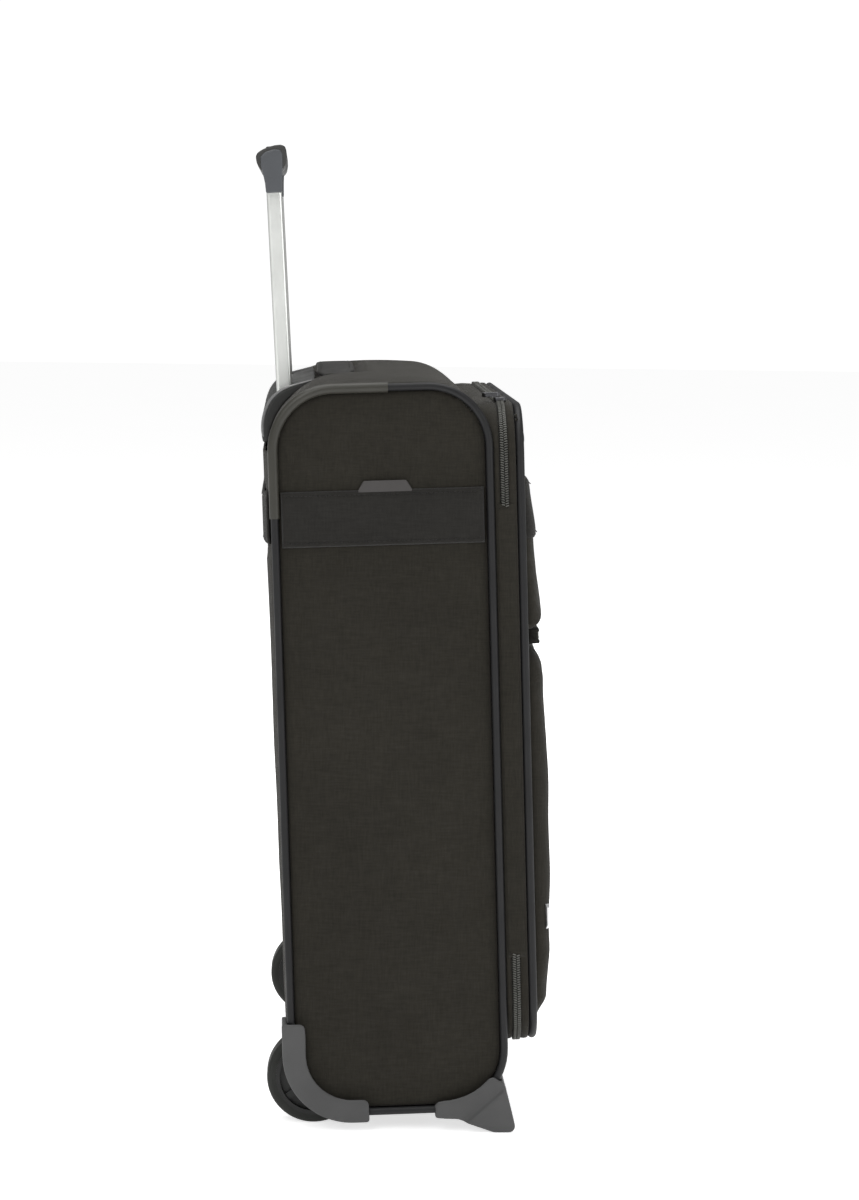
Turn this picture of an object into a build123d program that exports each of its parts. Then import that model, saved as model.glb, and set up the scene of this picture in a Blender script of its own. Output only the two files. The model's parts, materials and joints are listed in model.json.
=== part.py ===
from build123d import *
import os
from math import cos, radians, sin

# A softside cabin suitcase standing on two rear wheels and two front feet.
# World frame: +X to the front (lid and pockets), +Y to the case's left, +Z up.
# The floor is Z = 0, and the origin is below the middle of the overall box.

# Driving dimensions, millimetres and degrees
LEAN = 2.3               # the case leans back on its taller front feet
CASE_DEPTH = 158.0       # over the piping, rear to front
MID_SHIFT = 0.5          # puts X = 0 at the middle of the overall depth, grip to pockets
CASE_HEIGHT = 525.0      # over the piping, bottom to top
CORNER_R = 46.0          # side outline, all four corners
GUSSET_HALF = 194.0      # half width of the panels that run round the side outline
SIDE_FACE = 197.0        # outer face of a side panel, from the middle plane
WALL = 3.0               # fabric, foam and board together
GAP = 0.1                # sewing and moulding clearance between separate pieces

PIPING_R = 2.75
SLEEVE_R = 3.6

BELT_LOW = 411.0         # the wide belt round the case
BELT_HIGH = 450.5
BELT_THICK = 2.7
TAG_X = 81.0             # address tag tucked behind the near belt
TAG_TRAVEL_ROOM = 36.0

WHEEL_X = 18.0           # wheel axis in the case's frame
WHEEL_Z = 24.5
WHEEL_R = 34.0
WHEEL_INNER = 156.0      # wheel width, from the middle plane
WHEEL_OUTER = 178.0
WELL_R = 37.0
WELL_SKIN = 2.5
AXLE_R = 4.0
RUN_FIT = 0.05           # radial clearance of a turning or sliding fit

GUARD_PROUD = 4.0        # plastic corner guards stand this far outside the piping
GUARD_WIDTH = 13.0       # and reach this far in over the side panel
GUARD_FACE = 202.0

LID_HALF = 197.0         # lid outline, in the plane across the case
LID_LOW = 45.0
LID_HIGH = 508.0
LID_CORNER_R = 35.0
ZIP_X = 165.5            # plane between the two halves of the main zip
HINGE_LOW = 114.0        # the near side is fabric, not zip, between these heights
HINGE_HIGH = 436.0

TUBE_TILT = 1.1          # the telescopic tubes lean back a little more than the case
TUBE_TOP_X = 11.8        # where their axis leaves the top corner
TUBE_TOP_Z = 518.6
TUBE_Y = 100.0
INNER_TUBE = (11.2, 16.0)    # depth and width
TUBE_WALL = 1.1
TUBE_SLIP = 0.15         # clearance per side between telescoping tubes
GRIP_BASE_Z = 661.0      # along the tubes
GRIP_HALF = 117.0

POCKET_HALF = 188.0


# Frames and planes
def leaning_frame(origin, angle):
    """A frame tilted back about Y: its x runs forward and up, its z up and back."""
    tilt = radians(angle)
    return Plane(origin, x_dir=(cos(tilt), 0, sin(tilt)), z_dir=(-sin(tilt), 0, cos(tilt)))


case_rise = WHEEL_R - WHEEL_X * sin(radians(LEAN)) - WHEEL_Z * cos(radians(LEAN))
CASE = leaning_frame((-CASE_DEPTH / 2 + MID_SHIFT, 0, case_rise), LEAN)
tube_foot = (
    TUBE_TOP_X + TUBE_TOP_Z * sin(radians(TUBE_TILT)),
    0,
    TUBE_TOP_Z - TUBE_TOP_Z * cos(radians(TUBE_TILT)),
)
TROLLEY = leaning_frame(CASE.from_local_coords(tube_foot), LEAN + TUBE_TILT)


def side_plane(y, frame=CASE):
    """Sketch x is depth and sketch y is height; extrudes towards -Y."""
    return Plane(frame.from_local_coords((0, y, 0)), x_dir=frame.x_dir, z_dir=-frame.y_dir)


def level_plane(z, frame=CASE):
    """Sketch x is depth and sketch y is width; extrudes upwards."""
    return Plane(frame.from_local_coords((0, 0, z)), x_dir=frame.x_dir, z_dir=frame.z_dir)


def cross_plane(x, frame=CASE):
    """Sketch x is width and sketch y is height; extrudes forwards."""
    return Plane(frame.from_local_coords((x, 0, 0)), x_dir=frame.y_dir, z_dir=frame.x_dir)


UP = Axis((0, 0, 0), (CASE.z_dir.X, CASE.z_dir.Y, CASE.z_dir.Z))


def save(piece, name):
    piece.part.label = name
    export_step(piece.part, f"parts/{name}.step")


def outline(inset, mode=Mode.ADD):
    """The case's side outline, drawn in a side plane, moved in by inset."""
    width = CASE_DEPTH - 2 * inset
    height = CASE_HEIGHT - 2 * inset
    with Locations((CASE_DEPTH / 2, CASE_HEIGHT / 2)):
        RectangleRounded(width, height, CORNER_R - inset, mode=mode)


def lid_outline(inset, mode=Mode.ADD):
    """The lid's outline, drawn in a cross plane, moved in by inset."""
    width = 2 * (LID_HALF - inset)
    height = LID_HIGH - LID_LOW - 2 * inset
    with Locations((0, (LID_LOW + LID_HIGH) / 2)):
        RectangleRounded(width, height, LID_CORNER_R - inset, mode=mode)


def slab(plane, width, height, centre, thickness, mode=Mode.ADD):
    """A rectangular plate standing on a plane."""
    with BuildSketch(plane) as drawn:
        with Locations(centre):
            Rectangle(width, height)
    extrude(drawn.sketch, amount=thickness, mode=mode)


def rounded_slab(plane, width, height, radius, centre, thickness, mode=Mode.ADD):
    """A plate with rounded corners standing on a plane."""
    with BuildSketch(plane) as drawn:
        with Locations(centre):
            RectangleRounded(width, height, radius)
    extrude(drawn.sketch, amount=thickness, mode=mode)


def disc(plane, radius, centre, thickness, mode=Mode.ADD):
    """A round plate standing on a plane."""
    with BuildSketch(plane) as drawn:
        with Locations(centre):
            Circle(radius)
    extrude(drawn.sketch, amount=thickness, mode=mode)


def swept_loop(plane, across, up, corner, radius):
    """A round cord along a rounded rectangle, drawn between two pairs of limits."""
    (left, right), (low, high) = across, up
    middle = (left + right) / 2
    with BuildLine(plane) as loop:
        Line((middle, low), (right - corner, low))
        JernArc((right - corner, low), (1, 0), corner, 90)
        Line((right, low + corner), (right, high - corner))
        JernArc((right, high - corner), (0, 1), corner, 90)
        Line((right - corner, high), (left + corner, high))
        JernArc((left + corner, high), (-1, 0), corner, 90)
        Line((left, high - corner), (left, low + corner))
        JernArc((left, low + corner), (0, -1), corner, 90)
        Line((left + corner, low), (middle, low))
    path = loop.wires()[0]
    with BuildSketch(Plane(path @ 0, z_dir=path % 0)) as drawn:
        Circle(radius)
    sweep(drawn.sketch, path=path)


os.makedirs("parts", exist_ok=True)

# Side panels: padded fabric inside the piping
with BuildPart() as side_panel_right:
    with BuildSketch(side_plane(-GUSSET_HALF)):
        outline(2 * PIPING_R + GAP)
    extrude(amount=SIDE_FACE - GUSSET_HALF)
with BuildPart() as side_panel_left:
    mirror(side_panel_right.part, about=Plane.XZ)

# Piping round each side outline
with BuildPart() as piping_right:
    swept_loop(
        side_plane(-SIDE_FACE),
        (PIPING_R, CASE_DEPTH - PIPING_R),
        (PIPING_R, CASE_HEIGHT - PIPING_R),
        CORNER_R - PIPING_R,
        PIPING_R,
    )
with BuildPart() as piping_left:
    mirror(piping_right.part, about=Plane.XZ)

# Panels that run round the outline between the side panels
WELL_CUT_R = WELL_R + WELL_SKIN + 2.0
well_inner = WHEEL_INNER - WELL_SKIN
well_outer = WHEEL_OUTER + WELL_SKIN


def cut_wheel_wells(radius, skin):
    """Clears both rear bottom corners for the wheel housings."""
    depth = well_outer - well_inner + 2 * skin
    for start in (-(well_inner - skin), well_outer + skin):
        disc(side_plane(start), radius, (WHEEL_X, WHEEL_Z), depth, Mode.SUBTRACT)


def gusset_band():
    """The ring of wall round the side outline, full width."""
    with BuildSketch(side_plane(0)) as drawn:
        outline(0)
        outline(WALL, Mode.SUBTRACT)
    extrude(drawn.sketch, amount=GUSSET_HALF, both=True)


def keep_band(low, high, front):
    """Keeps the part of the band between two heights, back to a depth."""
    with BuildSketch(side_plane(0)) as drawn:
        with Locations(((front - 10) / 2, (low + high) / 2)):
            Rectangle(front + 10, high - low)
    extrude(drawn.sketch, amount=GUSSET_HALF + 1, both=True, mode=Mode.INTERSECT)


TUBE_HOLE = (24.0, 26.0)
HANDLE_X = 50.0
HANDLE_HALF = 96.0
LEG = (16.0, 3.0)
LEG_Y = HANDLE_HALF - 3
LEG_LOW = 508.5
with BuildPart() as back_panel:
    gusset_band()
    keep_band(CORNER_R + GAP, CASE_HEIGHT - CORNER_R - GAP, CORNER_R)
    cut_wheel_wells(WELL_CUT_R, GAP + WELL_SKIN)
with BuildPart() as top_panel:
    gusset_band()
    keep_band(CASE_HEIGHT - CORNER_R, CASE_HEIGHT + 1, CASE_DEPTH + 1)
    for y in (-TUBE_Y, TUBE_Y):
        with BuildSketch(level_plane(CASE_HEIGHT - CORNER_R - 1, TROLLEY)):
            with Locations((0, y)):
                Rectangle(*TUBE_HOLE)
        extrude(amount=CORNER_R + 20, mode=Mode.SUBTRACT)
    for y in (-LEG_Y, LEG_Y):
        slab(level_plane(CASE_HEIGHT - 6), LEG[0] + 1, LEG[1] + 1, (HANDLE_X, y), 10, Mode.SUBTRACT)
with BuildPart() as bottom_panel:
    gusset_band()
    keep_band(-1, CORNER_R, CASE_DEPTH + 1)
    cut_wheel_wells(WELL_CUT_R, GAP + WELL_SKIN)

# Plastic sleeves over the piping at the rear top corners
SLEEVE_LOW = 432.0
SLEEVE_FRONT = 85.0
with BuildPart() as corner_sleeves:
    with BuildLine(side_plane(-SIDE_FACE)) as sleeve_path:
        Line((PIPING_R, SLEEVE_LOW), (PIPING_R, CASE_HEIGHT - CORNER_R))
        JernArc((PIPING_R, CASE_HEIGHT - CORNER_R), (0, 1), CORNER_R - PIPING_R, -90)
        Line((CORNER_R, CASE_HEIGHT - PIPING_R), (SLEEVE_FRONT, CASE_HEIGHT - PIPING_R))
    with BuildSketch(level_plane(SLEEVE_LOW)):
        with Locations((PIPING_R, -SIDE_FACE)):
            Circle(SLEEVE_R)
            Circle(PIPING_R + RUN_FIT, mode=Mode.SUBTRACT)
            with Locations((SLEEVE_R / 2, SLEEVE_R / 2)):
                Rectangle(SLEEVE_R, SLEEVE_R + 2 * GAP, mode=Mode.SUBTRACT)
            with Locations((-SLEEVE_R / 2, SLEEVE_R / 2 + GUSSET_HALF - SIDE_FACE + SLEEVE_R + GAP)):
                Rectangle(2 * SLEEVE_R, SLEEVE_R, mode=Mode.SUBTRACT)
    sweep(path=sleeve_path.wires()[0])
    mirror(about=Plane.XZ)

# The wide belt: a strip on each side with a pocket for the address tag, and one behind
TAG_WIDTH = 38.0
TAG_THICK = 1.3
with BuildPart() as side_belt_right:
    belt_centre = ((8 + 150) / 2, (BELT_LOW + BELT_HIGH) / 2)
    slab(side_plane(-SIDE_FACE - GAP), 142, BELT_HIGH - BELT_LOW, belt_centre, BELT_THICK)
    slab(
        side_plane(-SIDE_FACE - 0.6),
        TAG_WIDTH + 1,
        TAG_TRAVEL_ROOM + 1,
        (TAG_X, BELT_HIGH - TAG_TRAVEL_ROOM / 2 + 0.5),
        TAG_THICK + 0.4,
        Mode.SUBTRACT,
    )
with BuildPart() as side_belt_left:
    slab(
        side_plane(SIDE_FACE + GAP + BELT_THICK),
        142,
        BELT_HIGH - BELT_LOW,
        belt_centre,
        BELT_THICK,
    )
with BuildPart() as back_belt:
    slab(
        cross_plane(-BELT_THICK - GAP),
        2 * (GUSSET_HALF - 2),
        BELT_HIGH - BELT_LOW,
        (0, (BELT_LOW + BELT_HIGH) / 2),
        BELT_THICK,
    )

# Address tag: a plastic card holder that pulls up out of the belt
with BuildPart() as id_tag:
    with BuildSketch(side_plane(-SIDE_FACE - 0.8)) as tag_side:
        with BuildLine():
            Polyline(
                (TAG_X - TAG_WIDTH / 2, BELT_HIGH - TAG_TRAVEL_ROOM + 1),
                (TAG_X + TAG_WIDTH / 2, BELT_HIGH - TAG_TRAVEL_ROOM + 1),
                (TAG_X + TAG_WIDTH / 2, BELT_HIGH),
                (TAG_X + TAG_WIDTH / 2 - 4, BELT_HIGH + 6.5),
                (TAG_X - TAG_WIDTH / 2 + 4, BELT_HIGH + 6.5),
                (TAG_X - TAG_WIDTH / 2, BELT_HIGH),
                close=True,
            )
        make_face()
        fillet(tag_side.vertices(), 1.8)
    extrude(amount=TAG_THICK)

# Stiff sheet behind the lining
with BuildPart() as back_board:
    slab(cross_plane(WALL + GAP), 280, 400, (0, 275), 1.1)

# Front rim: closes the shell round the opening and carries the zip
OPENING_HALF = 180.0
OPENING_LOW = 62.0
OPENING_HIGH = 477.0
with BuildPart() as front_rim:
    with BuildSketch(cross_plane(CASE_DEPTH - 20)):
        lid_outline(0)
        with Locations((0, (OPENING_LOW + OPENING_HIGH) / 2)):
            RectangleRounded(
                2 * OPENING_HALF, OPENING_HIGH - OPENING_LOW, 24, mode=Mode.SUBTRACT
            )
    extrude(amount=ZIP_X - CASE_DEPTH + 17.4)
    with BuildSketch(side_plane(0)):
        outline(-GAP)
    extrude(amount=SIDE_FACE + 5, both=True, mode=Mode.SUBTRACT)

# Spring-steel wire that keeps the opening square, just inside the shell
with BuildPart() as front_frame_wire:
    swept_loop(cross_plane(CASE_DEPTH - 8), (-190.5, 190.5), (58, 467), 26, 1.6)

# Thin lining bag, open to the front
LINING_BACK = 34.0
LINING_FRONT = 146.0
LINING_SKIN = 0.8
NOTCH = (30.0, 45.0, 70.0)


def lining_block(inset):
    """The space inside the shell in front of the tubes, clear of the wheel housings."""
    front = LINING_FRONT + 2 * inset
    back = LINING_BACK + inset
    half = 187 - inset
    with BuildSketch(side_plane(0)) as drawn:
        with BuildLine() as edge:
            Polyline(
                (back, 9 + inset),
                (108, 9 + inset),
                (front, 48),
                (front, 477),
                (108, 507 - inset),
                (back + 8, 507 - inset),
                (back, 499 - inset),
                close=True,
            )
        make_face(edge.edges())
    extrude(drawn.sketch, amount=half, both=True)
    for y in (-187 + 21.5, 187 - 21.5):
        with Locations(Location(CASE) * Location((LINING_BACK + 14, y, 34))):
            Box(*[size + 2 * inset for size in NOTCH], mode=Mode.SUBTRACT)


with BuildPart() as lining_space:
    lining_block(LINING_SKIN)
with BuildPart() as case_lining:
    lining_block(0)
    add(lining_space.part, mode=Mode.SUBTRACT)

# Two packing straps flat on the back lining, joined by one buckle
STRAP_X = LINING_BACK + LINING_SKIN + 2 * GAP
with BuildPart() as packing_straps:
    for y in (-70, 70):
        rounded_slab(cross_plane(STRAP_X), 25, 380, 4, (y, 280), 1.4)
with BuildPart() as strap_buckle:
    rounded_slab(cross_plane(STRAP_X), 108, 30, 6, (0, 280), 3.6)
    rounded_slab(cross_plane(STRAP_X), 60, 14, 4, (0, 280), 3.6, Mode.SUBTRACT)

# Trolley bezel: a moulded crescent over the rear top corner
BEZEL_HALF = 130.0
BEZEL_FRONT = 34.0


def tube_section(size):
    """A tube's rounded rectangular outline, drawn at both sides of a level plane."""
    with Locations((0, -TUBE_Y), (0, TUBE_Y)):
        RectangleRounded(size[0], size[1], min(size) * 0.2)


def grown(size, amount):
    return (size[0] + 2 * amount, size[1] + 2 * amount)


MID_BORE = grown(INNER_TUBE, TUBE_SLIP)
MID_TUBE = grown(MID_BORE, TUBE_WALL)
OUTER_BORE = grown(MID_TUBE, TUBE_SLIP)
OUTER_TUBE = grown(OUTER_BORE, TUBE_WALL)
OUTER_TOP = 505.0
with BuildPart() as trolley_bezel:
    with BuildSketch(side_plane(0)):
        with BuildLine():
            ThreePointArc((-4.6, 482), (5.0, 517.5), (BEZEL_FRONT, 530))
            Line((BEZEL_FRONT, 530), (BEZEL_FRONT, 490))
            Line((BEZEL_FRONT, 490), (-4.6, 482))
        make_face()
        with Locations((CORNER_R, CASE_HEIGHT - CORNER_R)):
            Circle(CORNER_R + GAP, mode=Mode.SUBTRACT)
        with Locations((0, 480)):
            Rectangle(4 * CORNER_R, 2 * GAP + 2, mode=Mode.SUBTRACT)
    extrude(amount=BEZEL_HALF, both=True)
    for end in (0, -1):
        end_face = trolley_bezel.faces().sort_by(Axis.Y)[end]
        outer_arc = end_face.edges().filter_by(GeomType.CIRCLE).sort_by(UP)[-1]
        fillet(outer_arc, 3.0)
    with BuildSketch(level_plane(470, TROLLEY)):
        tube_section(grown(OUTER_TUBE, GAP))
    extrude(amount=OUTER_TOP + GAP - 470, mode=Mode.SUBTRACT)
    with BuildSketch(level_plane(470, TROLLEY)):
        tube_section(grown(MID_TUBE, 2 * TUBE_SLIP))
    extrude(amount=80, mode=Mode.SUBTRACT)


# Telescopic tubes, three sizes on each side
def tubes(low, high, size, wall):
    with BuildSketch(level_plane(low, TROLLEY)) as drawn:
        tube_section(size)
    extrude(drawn.sketch, amount=high - low)
    with BuildSketch(level_plane(low, TROLLEY)) as drawn:
        tube_section(grown(size, -wall))
    extrude(drawn.sketch, amount=high - low, mode=Mode.SUBTRACT)


BASE_LOW = 27.0
BASE_HIGH = 52.0
TUBE_LOW = 33.0
INNER_LOW = 166.0
LOCK_Z = INNER_LOW + 12
with BuildPart() as outer_tubes:
    tubes(TUBE_LOW, OUTER_TOP, OUTER_TUBE, TUBE_WALL)
with BuildPart() as mid_tubes:
    tubes(TUBE_LOW + 1, OUTER_TOP - 2, MID_TUBE, TUBE_WALL)
    for side in (-1, 1):
        slot_y = side * (TUBE_Y + MID_TUBE[1] / 2)
        with BuildSketch(side_plane(slot_y + 3, TROLLEY)):
            with Locations((0, 170)):
                SlotOverall(262, 4.8, rotation=90)
        extrude(amount=6, mode=Mode.SUBTRACT)
with BuildPart() as inner_tubes:
    tubes(INNER_LOW, GRIP_BASE_Z + 9, INNER_TUBE, 1.2)
    for side in (-1, 1):
        bore_y = side * (TUBE_Y + INNER_TUBE[1] / 2)
        disc(side_plane(bore_y + 3, TROLLEY), 2.1, (0, LOCK_Z), 6, Mode.SUBTRACT)

# Bar that holds the bottom ends of the outer tubes
with BuildPart() as tube_base:
    rounded_slab(
        level_plane(BASE_LOW, TROLLEY), 22, 2 * (TUBE_Y + 22), 4, (0, 0), BASE_HIGH - BASE_LOW
    )
    with BuildSketch(level_plane(TUBE_LOW - GAP, TROLLEY)):
        tube_section(grown(OUTER_TUBE, RUN_FIT))
    extrude(amount=BASE_HIGH, mode=Mode.SUBTRACT)

# Lock blocks in the bottom ends of the inner tubes, and their sliding pins
LOCK_PIN_R = 2.0
with BuildPart() as lock_blocks:
    with BuildSketch(level_plane(INNER_LOW + 1, TROLLEY)):
        tube_section(grown(INNER_TUBE, -1.3))
    extrude(amount=22)
    for side in (-1, 1):
        bore_start = side * TUBE_Y + (10 if side > 0 else 3)
        disc(side_plane(bore_start, TROLLEY), LOCK_PIN_R + RUN_FIT, (0, LOCK_Z), 13, Mode.SUBTRACT)


def lock_pin(side):
    tip = side * (TUBE_Y + INNER_TUBE[1] / 2 + TUBE_SLIP + 0.9)
    start = tip if side > 0 else tip + 9
    disc(side_plane(start, TROLLEY), LOCK_PIN_R, (0, LOCK_Z), 9)


with BuildPart() as lock_pin_right:
    lock_pin(-1)
with BuildPart() as lock_pin_left:
    lock_pin(1)

# Grip: a base with two necks, a cover over it, and a push-button on top
HEAD_LOW = 671.0
SEAM = 677.0


def grip_profile(inset):
    """The grip's side view; its top rises towards the front."""
    with BuildLine() as sides:
        Polyline(
            (-11.2 + inset, HEAD_LOW + inset),
            (11.2 - inset, HEAD_LOW + inset),
            (11.2 - inset, 695.8 - inset),
            (-11.2 + inset, 690.2 - inset),
            close=True,
        )
    made = make_face(sides.edges())
    fillet(made.vertices(), 3.6 - inset)


def keep_grip(low, high):
    """Keeps the part of the head between two heights."""
    middle = (0, (low + high) / 2)
    width = 2 * GRIP_HALF + 2
    slab(side_plane(GRIP_HALF + 1, TROLLEY), 40, high - low, middle, width, Mode.INTERSECT)


def grip_hollow():
    with BuildSketch(side_plane(0, TROLLEY)) as drawn:
        grip_profile(2.0)
    extrude(drawn.sketch, amount=GRIP_HALF - 3, both=True, mode=Mode.SUBTRACT)


with BuildPart() as grip_cover:
    with BuildSketch(side_plane(0, TROLLEY)):
        grip_profile(0)
    extrude(amount=GRIP_HALF, both=True)
    grip_hollow()
    keep_grip(SEAM + GAP, 700)
    with BuildSketch(level_plane(680, TROLLEY)):
        RectangleRounded(11.2, 34.2, 4.1)
    extrude(amount=30, mode=Mode.SUBTRACT)
with BuildPart() as grip_base:
    with BuildSketch(side_plane(0, TROLLEY)):
        grip_profile(0)
    extrude(amount=GRIP_HALF, both=True)
    grip_hollow()
    keep_grip(HEAD_LOW - 1, SEAM)
    with BuildSketch(level_plane(GRIP_BASE_Z, TROLLEY)):
        with Locations((0, -TUBE_Y), (0, TUBE_Y)):
            RectangleRounded(13.4, 19.0, 3)
    extrude(amount=HEAD_LOW - GRIP_BASE_Z + 1)
    with BuildSketch(level_plane(GRIP_BASE_Z - 1, TROLLEY)):
        tube_section(grown(INNER_TUBE, RUN_FIT))
    extrude(amount=10 + GAP, mode=Mode.SUBTRACT)
    with BuildSketch(level_plane(GRIP_BASE_Z - 1, TROLLEY)):
        with Locations((0, -TUBE_Y), (0, TUBE_Y)):
            Circle(2.5)
    extrude(amount=16, mode=Mode.SUBTRACT)
BUTTON_TOP = 697.4
with BuildPart() as grip_button:
    with BuildSketch(level_plane(686.5, TROLLEY)):
        RectangleRounded(11.0, 34.0, 4.0)
    extrude(amount=BUTTON_TOP - 686.5)
    fillet(grip_button.faces().sort_by(UP)[-1].edges(), 1.5)
BAR_LOW = 682.0
with BuildPart() as release_rods:
    slab(level_plane(BAR_LOW, TROLLEY), 6, 2 * TUBE_Y + 8, (0, 0), 4)
    for y in (-TUBE_Y, TUBE_Y):
        disc(level_plane(INNER_LOW + 32, TROLLEY), 2.0, (0, y), BAR_LOW - INNER_LOW - 31)

# Top carry handle: a padded strap on two legs that lift through the end caps
with BuildPart() as top_handle:
    with BuildSketch(cross_plane(HANDLE_X - 14)):
        with BuildLine():
            ThreePointArc((-HANDLE_HALF, 530.8), (0, 534.0), (HANDLE_HALF, 530.8))
            Line((HANDLE_HALF, 530.8), (HANDLE_HALF, 526.9))
            ThreePointArc((HANDLE_HALF, 526.9), (0, 529.8), (-HANDLE_HALF, 526.9))
            Line((-HANDLE_HALF, 526.9), (-HANDLE_HALF, 530.8))
        make_face()
    extrude(amount=28)
    for y in (-LEG_Y, LEG_Y):
        slab(level_plane(LEG_LOW), *LEG, (HANDLE_X, y), 529 - LEG_LOW)
with BuildPart() as handle_caps:
    for y in (-HANDLE_HALF + 6, HANDLE_HALF - 6):
        rounded_slab(level_plane(CASE_HEIGHT + GAP), 24, 30, 5, (HANDLE_X, y), 1.6)
    for y in (-LEG_Y, LEG_Y):
        slab(level_plane(CASE_HEIGHT - 1), LEG[0] + 1, LEG[1] + 1, (HANDLE_X, y), 5, Mode.SUBTRACT)

# Wheel housings: a well over each wheel and a guard round the case's corner
GUARD_TOP = 70.0
GUARD_FRONT = 57.0
GUARD_PLATE = 1.9


def guard_window():
    """Keeps the stretch of the corner that the guard covers."""
    with Locations(((GUARD_FRONT - 20) / 2, (GUARD_TOP - 20) / 2)):
        RectangleRounded(GUARD_FRONT + 20, GUARD_TOP + 20, 5, mode=Mode.INTERSECT)


with BuildPart() as wheel_housing_right:
    # the well's block, hollowed for the wheel
    with BuildSketch(side_plane(-well_inner)):
        outline(-GUARD_PROUD)
        with Locations((WHEEL_X, WHEEL_Z)):
            Circle(WELL_R + WELL_SKIN, mode=Mode.INTERSECT)
    extrude(amount=well_outer - well_inner)
    disc(
        side_plane(-WHEEL_INNER + 2),
        WELL_R,
        (WHEEL_X, WHEEL_Z),
        WHEEL_OUTER - WHEEL_INNER + 4,
        Mode.SUBTRACT,
    )
    # the wrap over the piping
    with BuildSketch(side_plane(-well_outer + WELL_SKIN)):
        outline(-GUARD_PROUD)
        outline(-GAP, Mode.SUBTRACT)
        guard_window()
    extrude(amount=GUARD_FACE - well_outer + WELL_SKIN)
    # the side plate over the corner of the side panel
    with BuildSketch(side_plane(-GUARD_FACE + GUARD_PLATE)):
        outline(-GUARD_PROUD)
        outline(GUARD_WIDTH, Mode.SUBTRACT)
        guard_window()
    extrude(amount=GUARD_PLATE)
    disc(side_plane(-140), AXLE_R + RUN_FIT, (WHEEL_X, WHEEL_Z), 50, Mode.SUBTRACT)
with BuildPart() as wheel_housing_left:
    mirror(wheel_housing_right.part, about=Plane.XZ)

# Wheels: a hub with a rim lip, and a soft tyre
TYRE_THICK = 6.3
hub_r = WHEEL_R - TYRE_THICK
wheel_width = WHEEL_OUTER - WHEEL_INNER
with BuildPart() as tyre_right:
    disc(side_plane(-WHEEL_INNER), WHEEL_R, (WHEEL_X, WHEEL_Z), wheel_width)
    fillet(tyre_right.edges().filter_by(GeomType.CIRCLE), 4.0)
    disc(side_plane(-WHEEL_INNER), hub_r + RUN_FIT, (WHEEL_X, WHEEL_Z), wheel_width, Mode.SUBTRACT)
with BuildPart() as tyre_left:
    mirror(tyre_right.part, about=Plane.XZ)
with BuildPart() as hub_right:
    disc(side_plane(-WHEEL_INNER), hub_r, (WHEEL_X, WHEEL_Z), wheel_width)
    disc(side_plane(-WHEEL_OUTER + 4), hub_r - 3, (WHEEL_X, WHEEL_Z), 4, Mode.SUBTRACT)
    disc(side_plane(-WHEEL_OUTER + 4), 8.5, (WHEEL_X, WHEEL_Z), 3)
    for turn in range(5):
        with BuildSketch(side_plane(-WHEEL_OUTER + 4)):
            with Locations((WHEEL_X, WHEEL_Z)):
                with PolarLocations(16, 1, start_angle=turn * 72, angular_range=0):
                    Rectangle(17, 5)
        extrude(amount=2)
    disc(side_plane(-WHEEL_INNER + 1), AXLE_R + RUN_FIT, (WHEEL_X, WHEEL_Z), 40, Mode.SUBTRACT)
with BuildPart() as hub_left:
    mirror(hub_right.part, about=Plane.XZ)
with BuildPart() as wheel_axles:
    disc(side_plane(-well_inner + 4), AXLE_R, (WHEEL_X, WHEEL_Z), well_outer - well_inner + 5)
    disc(side_plane(-well_outer - GAP), 6.5, (WHEEL_X, WHEEL_Z), 2.5)
    mirror(about=Plane.XZ)

# Front feet: a plate over the corner and a cone down to the floor
FOOT_INNER = 158.0
FOOT_TOE = ((162.6, -15.4), (147.5, -15.4))
with BuildPart() as front_foot_right:
    with BuildSketch(side_plane(-FOOT_INNER)) as foot_side:
        with BuildLine():
            Spline((107, 10.0), (119, 11.4), (129.4, 14.8), (137.7, 20.2), (143.5, 25.6))
            Polyline((143.5, 25.6), (147, 26.2), (154.2, 21.6), (157.9, 7), *FOOT_TOE)
            Polyline(FOOT_TOE[-1], (120.6, -4), (104, -2.9), (104, 7.5), (107, 10.0))
        make_face()
        fillet(foot_side.vertices().group_by(Axis.Y)[0], 5.0)
    extrude(amount=GUARD_FACE - FOOT_INNER)
    with BuildSketch(side_plane(-FOOT_INNER + 1)):
        outline(-GAP)
    extrude(amount=GUARD_FACE - FOOT_INNER - 0.9, mode=Mode.SUBTRACT)
    slab(Plane.XY, 600, 600, (0, 0), 200, Mode.INTERSECT)
with BuildPart() as front_foot_left:
    mirror(front_foot_right.part, about=Plane.XZ)
with BuildPart() as corner_screws:
    for x, z in ((2.0, 62.0), (49.0, 3.0), (150.0, 17.0)):
        disc(side_plane(-GUARD_FACE - GAP), 2.6, (x, z), 1.0)
    mirror(about=Plane.XZ)

# Main zip: a toothed band on each side of the parting plane, open at the fabric hinge
ZIP_HALF_WIDTH = 2.4


def zip_band(start):
    with BuildSketch(cross_plane(start)) as drawn:
        lid_outline(0.4)
        lid_outline(3.4, Mode.SUBTRACT)
        with Locations((-LID_HALF, (HINGE_LOW + HINGE_HIGH) / 2)):
            Rectangle(20, HINGE_HIGH - HINGE_LOW, mode=Mode.SUBTRACT)
    extrude(drawn.sketch, amount=ZIP_HALF_WIDTH)


with BuildPart() as main_zip_case:
    zip_band(ZIP_X - ZIP_HALF_WIDTH - 0.05)
with BuildPart() as main_zip_lid:
    zip_band(ZIP_X + 0.05)
with BuildPart() as hinge_tape:
    slab(
        cross_plane(ZIP_X - ZIP_HALF_WIDTH - 0.05),
        2.6,
        HINGE_HIGH - HINGE_LOW - 2 * GAP,
        (-LID_HALF + 1.7, (HINGE_LOW + HINGE_HIGH) / 2),
        ZIP_HALF_WIDTH,
    )

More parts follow.
